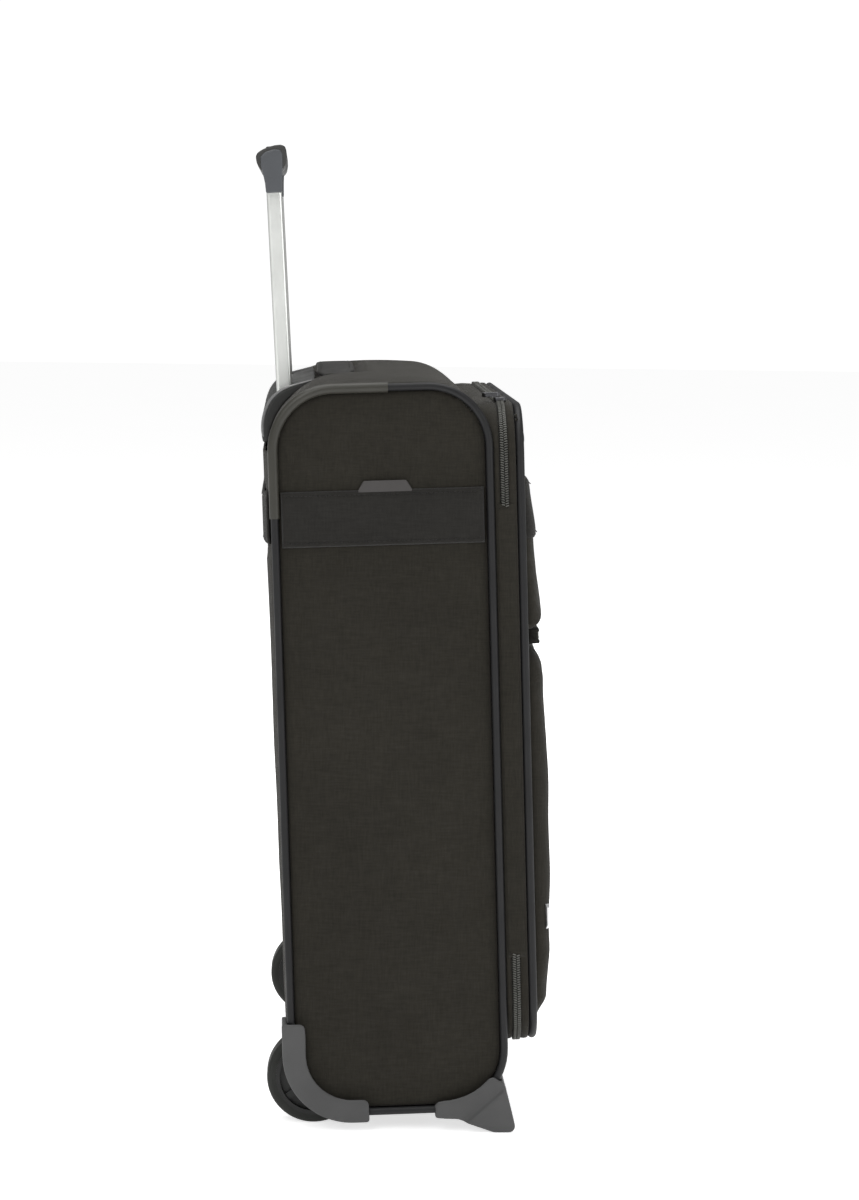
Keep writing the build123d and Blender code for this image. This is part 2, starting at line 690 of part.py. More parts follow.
# Lid: frame, padded panel, piping
LID_FRAME_X = ZIP_X + ZIP_HALF_WIDTH + 2 * GAP
LID_PIPING_X = 177.0
LID_PANEL_X = 174.2
with BuildPart() as lid_frame:
    with BuildSketch(cross_plane(LID_FRAME_X)):
        lid_outline(0)
        lid_outline(3.5, Mode.SUBTRACT)
    extrude(amount=LID_PIPING_X - 3 - GAP - LID_FRAME_X)
with BuildPart() as lid_panel:
    with BuildSketch(cross_plane(LID_PANEL_X)):
        lid_outline(6.2)
    extrude(amount=2.8)
with BuildPart() as lid_piping:
    swept_loop(
        cross_plane(LID_PIPING_X),
        (-LID_HALF + 3, LID_HALF - 3),
        (LID_LOW + 3, LID_HIGH - 3),
        LID_CORNER_R - 3,
        3.0,
    )
with BuildPart() as lid_mesh_pocket:
    rounded_slab(cross_plane(LID_PANEL_X - 2.6), 372, 250, 12, (0, 200), 2.2)

# Front pockets, their zips and the belt across the upper one
POCKET_BACK = LID_PANEL_X + 2.9
POCKET_CLOTH = 2.5
UPPER_OUTSIDE = (
    (POCKET_BACK, 461.0),
    (186.0, 461.0),
    (189.6, 412.0),
    (193.2, 347.0),
    (POCKET_BACK, 347.0),
)
UPPER_INSIDE = (
    (POCKET_BACK - 1, 458.0),
    (183.5, 458.0),
    (190.6, 350.0),
    (POCKET_BACK - 1, 350.0),
)
LOWER_OUTSIDE = (
    (POCKET_BACK, 333.0),
    (193.6, 333.0),
    (195.0, 250.0),
    (194.2, 116.0),
    (189.6, 75.5),
    (180.6, 58.0),
    (POCKET_BACK, 58.0),
)
LOWER_INSIDE = (
    (POCKET_BACK - 1, 330.0),
    (191.1, 330.0),
    (191.6, 116.0),
    (187.0, 77.0),
    (POCKET_BACK - 1, 62.0),
)


def carried_across(points, half, mode=Mode.ADD):
    """A side profile carried the same distance each way from the middle plane."""
    with BuildSketch(side_plane(0)) as drawn:
        with BuildLine() as edge:
            Polyline(*points, close=True)
        make_face(edge.edges())
    extrude(drawn.sketch, amount=half, both=True, mode=mode)


with BuildPart() as upper_pocket:
    carried_across(UPPER_OUTSIDE, POCKET_HALF)
    carried_across(UPPER_INSIDE, POCKET_HALF - POCKET_CLOTH, Mode.SUBTRACT)
with BuildPart() as lower_pocket:
    carried_across(LOWER_OUTSIDE, POCKET_HALF)
    carried_across(LOWER_INSIDE, POCKET_HALF - POCKET_CLOTH, Mode.SUBTRACT)
    with BuildSketch(cross_plane(POCKET_BACK - 1)):
        lid_outline(9)
    extrude(amount=25, mode=Mode.INTERSECT)
BELT_STRIP = ((186.75, 452.5), (188.35, 452.5), (191.4, 412.0), (189.8, 412.0))
with BuildPart() as front_belt:
    carried_across(BELT_STRIP, POCKET_HALF)
with BuildPart() as pocket_zips:
    slab(cross_plane(POCKET_BACK), 340, 8, (0, 467), 4.4)
    slab(cross_plane(POCKET_BACK), 340, 8, (0, 340), 12.0)
with BuildPart() as emblem_plate:
    slab(side_plane(-POCKET_HALF - GAP), 2.8, 18, (189.0, 138.5), 1.0)

# Zip sliders with their hinged pulls
SLIDER_Y = -158.0        # the main slider rests at the near top corner
POCKET_SLIDER_Y = 158.0  # the pocket sliders rest at the far end
PULL_LONG = 24.0
with BuildPart() as main_slider:
    rounded_slab(level_plane(LID_HIGH + 2 * GAP), 9, 11, 2.5, (ZIP_X, SLIDER_Y), 3.0)
with BuildPart() as main_pull:
    rounded_slab(level_plane(LID_HIGH + 3.6), 13, 7, 3.0, (ZIP_X - 6, SLIDER_Y), 3.2)
with BuildPart() as upper_slider:
    rounded_slab(cross_plane(POCKET_BACK + 4.5), 11, 8, 2.5, (POCKET_SLIDER_Y, 467), 3.6)
with BuildPart() as upper_pull:
    rounded_slab(cross_plane(POCKET_BACK + 11.9), 7, PULL_LONG, 3.0, (POCKET_SLIDER_Y, 459), 1.6)
with BuildPart() as lower_slider:
    rounded_slab(cross_plane(POCKET_BACK + 12.1), 11, 8, 2.5, (POCKET_SLIDER_Y, 340), 3.1)
with BuildPart() as lower_pull:
    rounded_slab(cross_plane(POCKET_BACK + 18.0), 7, PULL_LONG, 3.0, (POCKET_SLIDER_Y, 332), 1.6)

pieces = {
    "side_panel_right": side_panel_right,
    "side_panel_left": side_panel_left,
    "back_panel": back_panel,
    "top_panel": top_panel,
    "bottom_panel": bottom_panel,
    "piping_right": piping_right,
    "piping_left": piping_left,
    "corner_sleeves": corner_sleeves,
    "side_belt_right": side_belt_right,
    "side_belt_left": side_belt_left,
    "back_belt": back_belt,
    "back_board": back_board,
    "front_rim": front_rim,
    "front_frame_wire": front_frame_wire,
    "case_lining": case_lining,
    "packing_straps": packing_straps,
    "strap_buckle": strap_buckle,
    "trolley_bezel": trolley_bezel,
    "outer_tubes": outer_tubes,
    "tube_base": tube_base,
    "wheel_housing_right": wheel_housing_right,
    "wheel_housing_left": wheel_housing_left,
    "wheel_axles": wheel_axles,
    "front_foot_right": front_foot_right,
    "front_foot_left": front_foot_left,
    "corner_screws": corner_screws,
    "main_zip_case": main_zip_case,
    "hinge_tape": hinge_tape,
    "handle_caps": handle_caps,
    "lid_frame": lid_frame,
    "lid_panel": lid_panel,
    "lid_piping": lid_piping,
    "lid_mesh_pocket": lid_mesh_pocket,
    "upper_pocket": upper_pocket,
    "lower_pocket": lower_pocket,
    "front_belt": front_belt,
    "emblem_plate": emblem_plate,
    "main_zip_lid": main_zip_lid,
    "pocket_zips": pocket_zips,
    "mid_tubes": mid_tubes,
    "inner_tubes": inner_tubes,
    "grip_base": grip_base,
    "grip_cover": grip_cover,
    "grip_button": grip_button,
    "release_rods": release_rods,
    "lock_blocks": lock_blocks,
    "lock_pin_right": lock_pin_right,
    "lock_pin_left": lock_pin_left,
    "tyre_right": tyre_right,
    "tyre_left": tyre_left,
    "hub_right": hub_right,
    "hub_left": hub_left,
    "id_tag": id_tag,
    "top_handle": top_handle,
    "main_slider": main_slider,
    "main_pull": main_pull,
    "upper_slider": upper_slider,
    "upper_pull": upper_pull,
    "lower_slider": lower_slider,
    "lower_pull": lower_pull,
}
for name, piece in pieces.items():
    save(piece, name)
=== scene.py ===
import json
import math

import bmesh
import bpy
from mathutils import Euler, Matrix, Vector, noise


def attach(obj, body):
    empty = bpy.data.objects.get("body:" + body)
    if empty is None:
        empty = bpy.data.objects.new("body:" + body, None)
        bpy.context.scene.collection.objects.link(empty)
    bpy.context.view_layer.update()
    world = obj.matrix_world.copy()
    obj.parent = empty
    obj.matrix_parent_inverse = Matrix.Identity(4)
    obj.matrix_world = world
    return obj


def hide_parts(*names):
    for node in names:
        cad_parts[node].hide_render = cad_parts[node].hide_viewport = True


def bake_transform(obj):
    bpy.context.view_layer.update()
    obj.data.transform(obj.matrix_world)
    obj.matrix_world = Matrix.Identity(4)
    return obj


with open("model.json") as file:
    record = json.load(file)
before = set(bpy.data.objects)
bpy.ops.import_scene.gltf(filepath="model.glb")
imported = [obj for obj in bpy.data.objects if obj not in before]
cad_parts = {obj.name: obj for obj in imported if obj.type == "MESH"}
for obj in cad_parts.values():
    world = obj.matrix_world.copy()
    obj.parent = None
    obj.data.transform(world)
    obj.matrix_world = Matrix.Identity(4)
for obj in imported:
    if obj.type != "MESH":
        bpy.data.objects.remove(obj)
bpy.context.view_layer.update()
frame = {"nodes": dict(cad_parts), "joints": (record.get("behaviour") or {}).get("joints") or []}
joints = {joint["name"]: joint for joint in frame["joints"]}
MM = 0.001

# The case's own frame in millimetres: x to the front, y to its left, z up along its back.
# It comes from the wheel's axis and from the direction in which the address tag slides.
DEPTH, HEIGHT, CORNER = 158.0, 525.0, 46.0
GUSSET_HALF, SIDE_FACE = 194.0, 197.0
WHEEL = (18.0, 24.5)
WELL_WIDTH, WELL_RADIUS = (148.0, 186.0), 40.5
BELT = (411.0, 450.5)
LID_HALF, LID_LOW, LID_HIGH, LID_CORNER = 197.0, 45.0, 508.0, 35.0
ZIP_X, LID_BACK, LID_FRONT = 165.5, 168.0, 174.0
ZIP_PITCH = 1.75
STITCH_INSET = 3.2
HINGE = (114.0, 436.0)
TUBE_TOP = (11.8, 518.6)
TUBE_Y = 100.0
POCKET_HALF, POCKET_BACK = 188.0, 176.0
TAG_X, TAG_HALF, TAG_REACH = 81.0, 19.0, 490.0


def frame_matrix(up, point, local):
    """Millimetres in a leaning frame to metres in the row's frame."""
    side = Vector((0, 1, 0))
    ahead = side.cross(up)
    origin = point - ahead * local[0] * MM - up * local[1] * MM
    rotation = Matrix((ahead, side, up)).transposed().to_4x4()
    return Matrix.Translation(origin) @ rotation @ Matrix.Scale(MM, 4)


def middle(joint):
    point = Vector(joints[joint]["pos_m"])
    point.y = 0
    return point


CASE = frame_matrix(Vector(joints["address_tag_slide"]["axis"]), middle("wheel_right_spin"), WHEEL)
TROLLEY = frame_matrix(
    Vector(joints["trolley_mid_slide"]["axis"]),
    CASE @ Vector((TUBE_TOP[0], 0, TUBE_TOP[1])),
    (0, TUBE_TOP[1]),
)


# Materials
class Nodes:
    """A small helper that adds and links shader nodes."""

    def __init__(self, name):
        self.material = bpy.data.materials.new(name)
        self.material.use_nodes = True
        self.tree = self.material.node_tree
        self.shader = self.tree.nodes["Principled BSDF"]
        places = self.add("ShaderNodeTexCoord")
        self.place, self.normal = places.outputs["Object"], places.outputs["Normal"]

    def add(self, kind, **values):
        node = self.tree.nodes.new(kind)
        for key, value in values.items():
            setattr(node, key, value)
        return node

    def link(self, source, target):
        self.tree.links.new(source, target)

    def maths(self, operation, first, second=None):
        node = self.add("ShaderNodeMath", operation=operation)
        for socket, value in zip(node.inputs, (first, second)):
            if value is None:
                continue
            if isinstance(value, (int, float)):
                socket.default_value = value
            else:
                self.link(value, socket)
        return node.outputs[0]

    def noise(self, scale, detail=3.0, stretch=(1, 1, 1)):
        scaled = self.add("ShaderNodeMapping")
        scaled.inputs["Scale"].default_value = stretch
        self.link(self.place, scaled.inputs["Vector"])
        node = self.add("ShaderNodeTexNoise")
        node.inputs["Scale"].default_value = scale
        node.inputs["Detail"].default_value = detail
        self.link(scaled.outputs[0], node.inputs["Vector"])
        return node.outputs["Fac"]

    def between(self, factor, low, high):
        """Maps a 0.3 to 0.7 noise value onto a range."""
        node = self.add("ShaderNodeMapRange")
        node.inputs["From Min"].default_value = 0.3
        node.inputs["From Max"].default_value = 0.7
        node.inputs["To Min"].default_value = low
        node.inputs["To Max"].default_value = high
        self.link(factor, node.inputs["Value"])
        return node.outputs[0]

    def tint(self, colour, factor, socket="Base Color"):
        """A 0 to 255 colour multiplied by a factor that varies over the surface."""
        node = self.add("ShaderNodeVectorMath", operation="SCALE")
        node.inputs[0].default_value = [(value / 255) ** 2.2 for value in colour]
        self.link(factor, node.inputs["Scale"])
        self.link(node.outputs[0], self.shader.inputs[socket])

    def bump(self, height, distance, strength=1.0):
        node = self.add("ShaderNodeBump")
        node.inputs["Distance"].default_value = distance
        node.inputs["Strength"].default_value = strength
        self.link(height, node.inputs["Height"])
        self.link(node.outputs[0], self.shader.inputs["Normal"])

    def value(self, name, value):
        self.shader.inputs[name].default_value = value


def woven(name, colour, pitch=0.95, sheen=0.25, rough=0.85, depth=0.16, slub=0.35):
    """Woven cloth: crossed yarns, uneven yarn colour, soft sheen."""
    made = Nodes(name)
    scaled = made.add("ShaderNodeVectorMath", operation="SCALE")
    scaled.inputs["Scale"].default_value = 2 * math.pi / (pitch * MM)
    made.link(made.place, scaled.inputs[0])
    waves = made.add("ShaderNodeVectorMath", operation="SINE")
    made.link(scaled.outputs[0], waves.inputs[0])
    split = made.add("ShaderNodeSeparateXYZ")
    made.link(waves.outputs[0], split.inputs[0])
    across, along, up = split.outputs
    facing = made.add("ShaderNodeVectorMath", operation="ABSOLUTE")
    made.link(made.normal, facing.inputs[0])
    parts = made.add("ShaderNodeSeparateXYZ")
    made.link(facing.outputs[0], parts.inputs[0])
    weave = 0.0
    for share, first, second in zip(parts.outputs, (along, across, across), (up, up, along)):
        crossing = made.maths("MULTIPLY", first, second)
        squared = made.maths("MULTIPLY", share, share)
        weave = made.maths("ADD", made.maths("MULTIPLY", crossing, squared), weave)
    yarn = made.noise(900, 2, (1, 1, 0.12))
    cross_yarn = made.noise(900, 2, (0.12, 0.12, 1))
    cloud = made.between(made.noise(14, 4), 1 - slub * 0.35, 1 + slub * 0.35)
    both = made.maths("MULTIPLY", made.maths("ADD", yarn, cross_yarn), 0.5)
    yarns = made.between(both, 1 - slub, 1 + slub)
    shade = made.maths("ADD", made.maths("MULTIPLY", weave, 0.10), 1.0)
    made.tint(colour, made.maths("MULTIPLY", made.maths("MULTIPLY", cloud, yarns), shade))
    rubbed = made.between(made.noise(60, 2), rough - 0.06, min(1.0, rough + 0.06))
    made.link(rubbed, made.shader.inputs["Roughness"])
    made.value("Sheen Weight", sheen)
    made.value("Sheen Roughness", 0.45)
    made.value("Specular IOR Level", 0.15)
    height = made.maths("ADD", weave, made.maths("MULTIPLY", yarn, 1.4))
    made.bump(height, depth * MM, 0.8)
    return made.material


def moulded(name, colour, rough=0.45, grain=0.05, wear=0.12):
    """Moulded plastic: spark-eroded grain, rubbed patches, faint scuffs."""
    made = Nodes(name)
    fine = made.noise(2600, 2)
    patch = made.noise(38, 4)
    made.tint(colour, made.between(patch, 1 - wear, 1 + wear))
    made.link(made.between(patch, rough + 0.08, rough - 0.08), made.shader.inputs["Roughness"])
    made.bump(fine, grain * MM, 0.9)
    made.value("Specular IOR Level", 0.35)
    return made.material


def metal(name, colour, rough, edge=0.0):
    """Drawn metal: fine lines along the length, uneven roughness, and painted shade: its colour darkens
    where the surface turns away from the view.
    """
    made = Nodes(name)
    lines = made.noise(3500, 2, (1, 1, 0.02))
    # Painted shade: the Facing output darkens the colour towards the edges that turn away from the view.
    turned = made.add("ShaderNodeLayerWeight").outputs["Facing"]
    painted_edge_shade = made.maths("SUBTRACT", 1.0, made.maths("MULTIPLY", turned, edge))
    made.tint(colour, made.maths("MULTIPLY", made.between(made.noise(30, 3), 0.95, 1.05), painted_edge_shade))
    made.value("Metallic", 1.0)
    made.link(made.between(lines, rough - 0.06, rough + 0.08), made.shader.inputs["Roughness"])
    made.bump(lines, 0.02 * MM, 0.5)
    return made.material


MATERIALS = {
    "shell": woven("shell_weave", (45, 43, 38), sheen=0.1, slub=0.22),
    "belt": woven("belt_weave", (43, 42, 40), pitch=0.6, depth=0.1, slub=0.2, sheen=0.1),
    "lining": woven("lining_weave", (92, 92, 96), pitch=0.5, depth=0.05, rough=0.6, slub=0.15),
    "mesh": woven("mesh_weave", (34, 34, 36), pitch=2.0, depth=0.4, rough=0.7, slub=0.2),
    "tape": woven("zip_tape", (40, 39, 36), pitch=0.5, depth=0.1, slub=0.2, sheen=0.1),
    "thread": woven("thread", (36, 35, 33), pitch=0.3, depth=0.05, rough=0.6, sheen=0.1),
    "teeth": moulded("zip_teeth", (92, 92, 88), rough=0.36, grain=0.01),
    "piping": moulded("piping_rubber", (27, 27, 28), rough=0.5, grain=0.04),
    "sleeve": moulded("sleeve_plastic", (58, 57, 52), rough=0.34, grain=0.02),
    "guard": moulded("guard_plastic", (74, 74, 74), rough=0.5, grain=0.05, wear=0.06),
    "bezel": moulded("bezel_plastic", (48, 48, 47), rough=0.5, grain=0.06),
    # Pale grey for the bezel's ends: a painted highlight where light catches their rounded ends.
    "trim": moulded("bezel_painted_highlight", (112, 112, 112), rough=0.36, grain=0.02),
    "grip": moulded("grip_plastic", (80, 82, 85), rough=0.38, grain=0.02),
    "wrap": moulded("grip_wrap", (58, 58, 57), rough=0.55, grain=0.05),
    "button": moulded("button_plastic", (34, 34, 36), rough=0.35, grain=0.01),
    "tyre": moulded("tyre_rubber", (36, 37, 34), rough=0.6, grain=0.06),
    "hub": moulded("hub_plastic", (34, 34, 33), rough=0.45, grain=0.03),
    "tag": moulded("tag_plastic", (66, 64, 63), rough=0.45, grain=0.02),
    # edge sets how much painted shade darkens the tubes' turned-away edges.
    "tube": metal("tube_satin", (251, 253, 249), 0.34, edge=0.6),
    "steel": metal("plated_steel", (150, 150, 150), 0.3),
    "slider": metal("slider_plate", (96, 96, 98), 0.3),
    "emblem": metal("emblem_satin", (214, 214, 214), 0.28),
}


# Mesh helpers
def new_object(name, data):
    made = bpy.data.objects.new(name, data)
    bpy.context.scene.collection.objects.link(made)
    return made


def piece(name, verts, faces, matrix, material, body, stands_for=(), slot=None, smooth=True):
    """A named object made from millimetre points, riding on a body."""
    data = bpy.data.meshes.new(name)
    data.from_pydata([matrix @ Vector(v) for v in verts], [], faces)
    data.validate()
    return finish_piece(new_object(name, data), material, body, stands_for, slot, smooth)


def finish_piece(made, material, body, stands_for=(), slot=None, smooth=True):
    """Gives a piece its material, clean normals, shading and place in the frame."""
    made.data.materials.clear()
    made.data.materials.append(MATERIALS[material])
    fix_normals(made)
    return settle(made, stands_for, slot, body, smooth)


def settle(made, stands_for, slot, body, smooth=True):
    """Shades a piece and puts it on its body in place of the nodes it stands for."""
    for polygon in made.data.polygons:
        polygon.use_smooth = smooth
    if stands_for:
        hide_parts(*stands_for)
    if body:
        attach(made, body)
    return made


def fix_normals(made):
    work = bmesh.new()
    work.from_mesh(made.data)
    bmesh.ops.remove_doubles(work, verts=work.verts, dist=1e-6)
    bmesh.ops.recalc_face_normals(work, faces=work.faces)
    work.to_mesh(made.data)
    work.free()


def apply_modifiers(made):
    """Bakes every modifier into the object's mesh."""
    bpy.context.view_layer.update()
    evaluated = made.evaluated_get(bpy.context.evaluated_depsgraph_get())
    data = bpy.data.meshes.new_from_object(evaluated)
    made.modifiers.clear()
    made.data = data


def loop_points(left, right, low, high, corner, step=4.0):
    """Points round a rounded rectangle: (a, b) places with outward normals."""
    points = []

    def straight(start, end, normal):
        length = math.dist(start, end)
        count = max(1, round(length / step))
        for k in range(count):
            share = k / count
            place = (start[0] + (end[0] - start[0]) * share, start[1] + (end[1] - start[1]) * share)
            points.append((place, normal))

    def arc(centre, start):
        count = max(6, round(corner * math.pi / 2 / step))
        for k in range(count):
            angle = start + math.pi / 2 * k / count
            normal = (math.cos(angle), math.sin(angle))
            points.append(((centre[0] + corner * normal[0], centre[1] + corner * normal[1]), normal))

    straight((left + corner, low), (right - corner, low), (0, -1))
    arc((right - corner, low + corner), -math.pi / 2)
    straight((right, low + corner), (right, high - corner), (1, 0))
    arc((right - corner, high - corner), 0)
    straight((right - corner, high), (left + corner, high), (0, 1))
    arc((left + corner, high - corner), math.pi / 2)
    straight((left, high - corner), (left, low + corner), (-1, 0))
    arc((left + corner, low + corner), math.pi)
    return points


def lid_loop(inset, step=4.0):
    """The lid's outline across the case, moved in by inset."""
    half = LID_HALF - inset
    return loop_points(-half, half, LID_LOW + inset, LID_HIGH - inset, LID_CORNER - inset, step)


def ring(loop, section):
    """A closed band: section gives (x, inset) corners for each loop point."""
    verts, faces = [], []
    size = len(section(loop[0]))
    for point in loop:
        (a, b), normal = point
        for x, inset in section(point):
            verts.append((x, a - normal[0] * inset, b - normal[1] * inset))
    count = len(loop)
    for k in range(count):
        for j in range(size):
            after, step = (k + 1) % count, (j + 1) % size
            faces.append((k * size + j, after * size + j, after * size + step, k * size + step))
    return verts, faces


def grid_faces(rows, columns, wrap=False):
    faces = []
    for i in range(rows - 1):
        for j in range(columns if wrap else columns - 1):
            after = (j + 1) % columns
            here, above = i * columns, (i + 1) * columns
            faces.append((here + j, here + after, above + after, above + j))
    return faces


def tube_faces(rows, around):
    """Faces of a tube of rings with both ends closed."""
    faces = grid_faces(rows, around, wrap=True)
    faces.append(tuple(range(around)))
    faces.append(tuple((rows - 1) * around + j for j in range(around)))
    return faces


def joined(parts):
    """Several shapes, each with points and faces, as one."""
    verts, faces = [], []
    for more_verts, more_faces in parts:
        faces += [tuple(k + len(verts) for k in face) for face in more_faces]
        verts += more_verts
    return verts, faces


def thicken(made, thickness):
    """Turns a sheet into a closed skin of the given thickness in millimetres."""
    solid = made.modifiers.new("skin", "SOLIDIFY")
    solid.thickness = thickness * MM
    solid.offset = -1
    apply_modifiers(made)


def grid_points(rows, columns, place):
    """The points that place gives for shares from 0 to 1 along rows and columns."""
    return [place(i / (rows - 1), j / (columns - 1)) for i in range(rows) for j in range(columns)]


def sewn(name, verts, rows, columns, thickness, material, stands_for, slot, body):
    """A grid of points as a closed skin of cloth."""
    made = piece(name, verts, grid_faces(rows, columns), CASE, material, None)
    thicken(made, thickness)
    return settle(made, stands_for, slot, body)


CLOTH_PRESSURE, CLOTH_FRAMES = 6.0, 18


def inflate(made, cap):
    """Blows a sheet up as cloth held at its edge, and returns how far each point went."""
    edge_use = {}
    for polygon in made.data.polygons:
        for key in polygon.edge_keys:
            edge_use[key] = edge_use.get(key, 0) + 1
    border = {v for key, use in edge_use.items() if use == 1 for v in key}
    group = made.vertex_groups.new(name="held")
    group.add(list(border), 1.0, "REPLACE")
    cloth = made.modifiers.new("cloth", "CLOTH")
    settings = cloth.settings
    settings.quality = 5
    settings.mass = 0.25
    settings.tension_stiffness = 12
    settings.compression_stiffness = 12
    settings.shear_stiffness = 4
    settings.bending_stiffness = 1.5
    settings.use_pressure = True
    settings.uniform_pressure_force = CLOTH_PRESSURE
    settings.effector_weights.gravity = 0
    settings.vertex_group_mass = "held"
    cloth.point_cache.frame_start = 1
    cloth.point_cache.frame_end = CLOTH_FRAMES
    scene = bpy.context.scene
    rest = [v.co.copy() for v in made.data.vertices]
    for step in range(1, CLOTH_FRAMES + 1):
        scene.frame_set(step)
    evaluated = made.evaluated_get(bpy.context.evaluated_depsgraph_get())
    moved = [v.co - r for v, r in zip(evaluated.data.vertices, rest)]
    made.modifiers.clear()
    made.vertex_groups.clear()
    scene.frame_set(1)
    limit = max(m.length for m in moved) or 1.0
    return [m * (cap * MM / limit) if limit > cap * MM else m for m in moved]


def ease(value):
    value = max(0.0, min(1.0, value))
    return value * value * (3 - 2 * value)


def wrinkle(point, size, amount):
    """A soft random height in millimetres at a place."""
    return noise.noise(Vector(point) / size) * amount


def box_block(centre, axes, sizes):
    """Eight corners of a small block, narrower at its top, on three unit axes."""
    corners = []
    for up in (-1, 1):
        trim = 0.72 if up > 0 else 1.0
        for a, b in ((-1, -1), (1, -1), (1, 1), (-1, 1)):
            place = centre + axes[0] * (a * sizes[0] / 2 * trim) + axes[1] * (b * sizes[1] / 2 * trim)
            corners.append(place + axes[2] * (up * sizes[2] / 2))
    return corners


BLOCK_FACES = ((0, 3, 2, 1), (4, 5, 6, 7), (0, 1, 5, 4), (1, 2, 6, 5), (2, 3, 7, 6), (3, 0, 4, 7))


def blocks(name, placed, material, body, slot, stands_for=()):
    """Many small blocks as one piece: stitches or zip teeth."""
    verts, faces = joined((box_block(*block), BLOCK_FACES) for block in placed)
    data = bpy.data.meshes.new(name)
    data.from_pydata([CASE @ Vector(v) for v in verts], [], faces)
    data.materials.append(MATERIALS[material])
    return settle(new_object(name, data), stands_for, slot, body, smooth=False)


STITCH_WIDTH, STITCH_HIGH = 0.6, 0.5


def stitches(path, outward, pitch=3.4, length=2.3):
    """Blocks for a row of stitches along a path of points."""
    placed = []
    points = [Vector(p) for p in path]
    carry = 0.0
    for start, end in zip(points, points[1:]):
        run = end - start
        if run.length < 1e-6:
            continue
        along = run.normalized()
        out = Vector(outward)
        out = (out - along * out.dot(along)).normalized()
        across = along.cross(out)
        distance = carry
        while distance < run.length:
            centre = start + along * distance + out * STITCH_HIGH * 0.2
            placed.append((centre, (along, across, out), (length, STITCH_WIDTH, STITCH_HIGH)))
            distance += pitch
        carry = distance - run.length
    return placed


# The padded panels of the shell
def inward(a, b, half_a, half_b, corner):
    """How far inside a rounded rectangle a place is."""
    da = abs(a) - (half_a - corner)
    db = abs(b) - (half_b - corner)
    return corner - math.hypot(max(da, 0), max(db, 0)) - min(max(da, db), 0)


def rounded_grid(rows, columns, half_a, half_b, corner, crowd=0.75):
    """Places on a grid over a rounded rectangle, closer together near its border."""
    places = []
    for i in range(rows):
        v = i / (rows - 1)
        v -= math.sin(2 * math.pi * v) / (2 * math.pi) * crowd
        for j in range(columns):
            u = j / (columns - 1)
            u -= math.sin(2 * math.pi * u) / (2 * math.pi) * crowd
            a, b = half_a * (2 * u - 1), half_b * (2 * v - 1)
            da, db = max(abs(a) - half_a + corner, 0), max(abs(b) - half_b + corner, 0)
            away = math.hypot(da, db)
            if away > corner:
                a = math.copysign(half_a - corner + da * corner / away, a)
                b = math.copysign(half_b - corner + db * corner / away, b)
            places.append((a, b))
    return places


def padded_side(name, side, node):
    """A side panel: a cloth-blown sheet that pulls in towards the piping."""
    half_x, half_z, corner = DEPTH / 2 - 5.6, HEIGHT / 2 - 5.6, CORNER - 5.6
    verts = []
    for a, b in rounded_grid(150, 56, half_x, half_z, corner):
        inset = inward(a, b, half_x, half_z, corner)
        crown = 1.9 * (1 - math.exp(-inset / 5.0))
        verts.append((a + DEPTH / 2, side * (SIDE_FACE - 2.6 + crown), b + HEIGHT / 2))
    made = piece(name, verts, grid_faces(150, 56), CASE, "shell", None)
    shifts = inflate(made, 2.6)
    back = CASE.inverted()
    for vertex, shift in zip(made.data.vertices, shifts):
        local = back @ vertex.co
        out = abs((back.to_3x3() @ shift).y)
        near_belt = min(abs(local.z - BELT[0]), abs(local.z - BELT[1]))
        if BELT[0] < local.z < BELT[1]:
            near_belt = 0
        share = min(1.0, near_belt / 34)
        fold = wrinkle((local.x, side * 50, local.z), 42, 0.5) * min(1.0, near_belt / 20)
        inset = inward(local.x - DEPTH / 2, local.z - HEIGHT / 2, half_x, half_z, corner)
        fold *= max(0.0, min(1.0, inset / 25))
        local.y += side * (out * share * share + fold)
        if side < 0 and local.z > BELT[1] - 10:
            beside_tag = ease((TAG_HALF + 5 - abs(local.x - TAG_X)) / 5) * ease((TAG_REACH - local.z) / 8)
            local.y += max(0.0, -local.y - (SIDE_FACE - 0.7)) * beside_tag
        vertex.co = CASE @ local
    thicken(made, 1.4)
    return settle(made, [node], "shell_fabric", "case")


def outline_at(distance):
    """A point and outward normal on the side outline, walking up the back and over the top."""
    r = CORNER
    parts = (
        ("line", (0, r), (0, 1), HEIGHT - 2 * r),
        ("arc", (r, HEIGHT - r), 180, r * math.pi / 2),
        ("line", (r, HEIGHT), (1, 0), DEPTH - 2 * r),
        ("arc", (DEPTH - r, HEIGHT - r), 90, r * math.pi / 2),
    )
    for kind, start, heading, length in parts:
        if distance <= length or (kind, heading) == ("arc", 90):
            if kind == "line":
                place = (start[0] + heading[0] * distance, start[1] + heading[1] * distance)
                return place, (-heading[1], heading[0])
            angle = math.radians(heading - 90 * distance / length)
            normal = (math.cos(angle), math.sin(angle))
            return (start[0] + r * normal[0], start[1] + r * normal[1]), normal
        distance -= length


def gusset(name, start, end, bulge, node, holes=None, flip=False, steps=(60, 64)):
    """A panel that runs round the outline between the two side panels."""
    rows, columns = steps
    verts = []
    for i in range(rows):
        distance = start + (end - start) * i / (rows - 1)
        (x, z), (nx, nz) = outline_at(distance)
        if flip:
            z, nz = HEIGHT - z, -nz
        for j in range(columns):
            y = -GUSSET_HALF + 2 * GUSSET_HALF * j / (columns - 1)
            edge = min(GUSSET_HALF - abs(y), 30) / 30
            out = bulge(x, y, z) * math.sin(edge * math.pi / 2) - 0.6 * (1 - edge) ** 3
            out += wrinkle((x, y, z), 60, 0.6) * edge
            verts.append((x + nx * out, y, z + nz * out))
    faces = []
    for face in grid_faces(rows, columns):
        centre = sum((Vector(verts[k]) for k in face), Vector()) / 4
        if holes and holes(centre):
            continue
        faces.append(face)
    made = piece(name, verts, faces, CASE, "shell", None)
    thicken(made, 1.6)
    drop_loose(made)
    return settle(made, [node], "shell_fabric", "case")


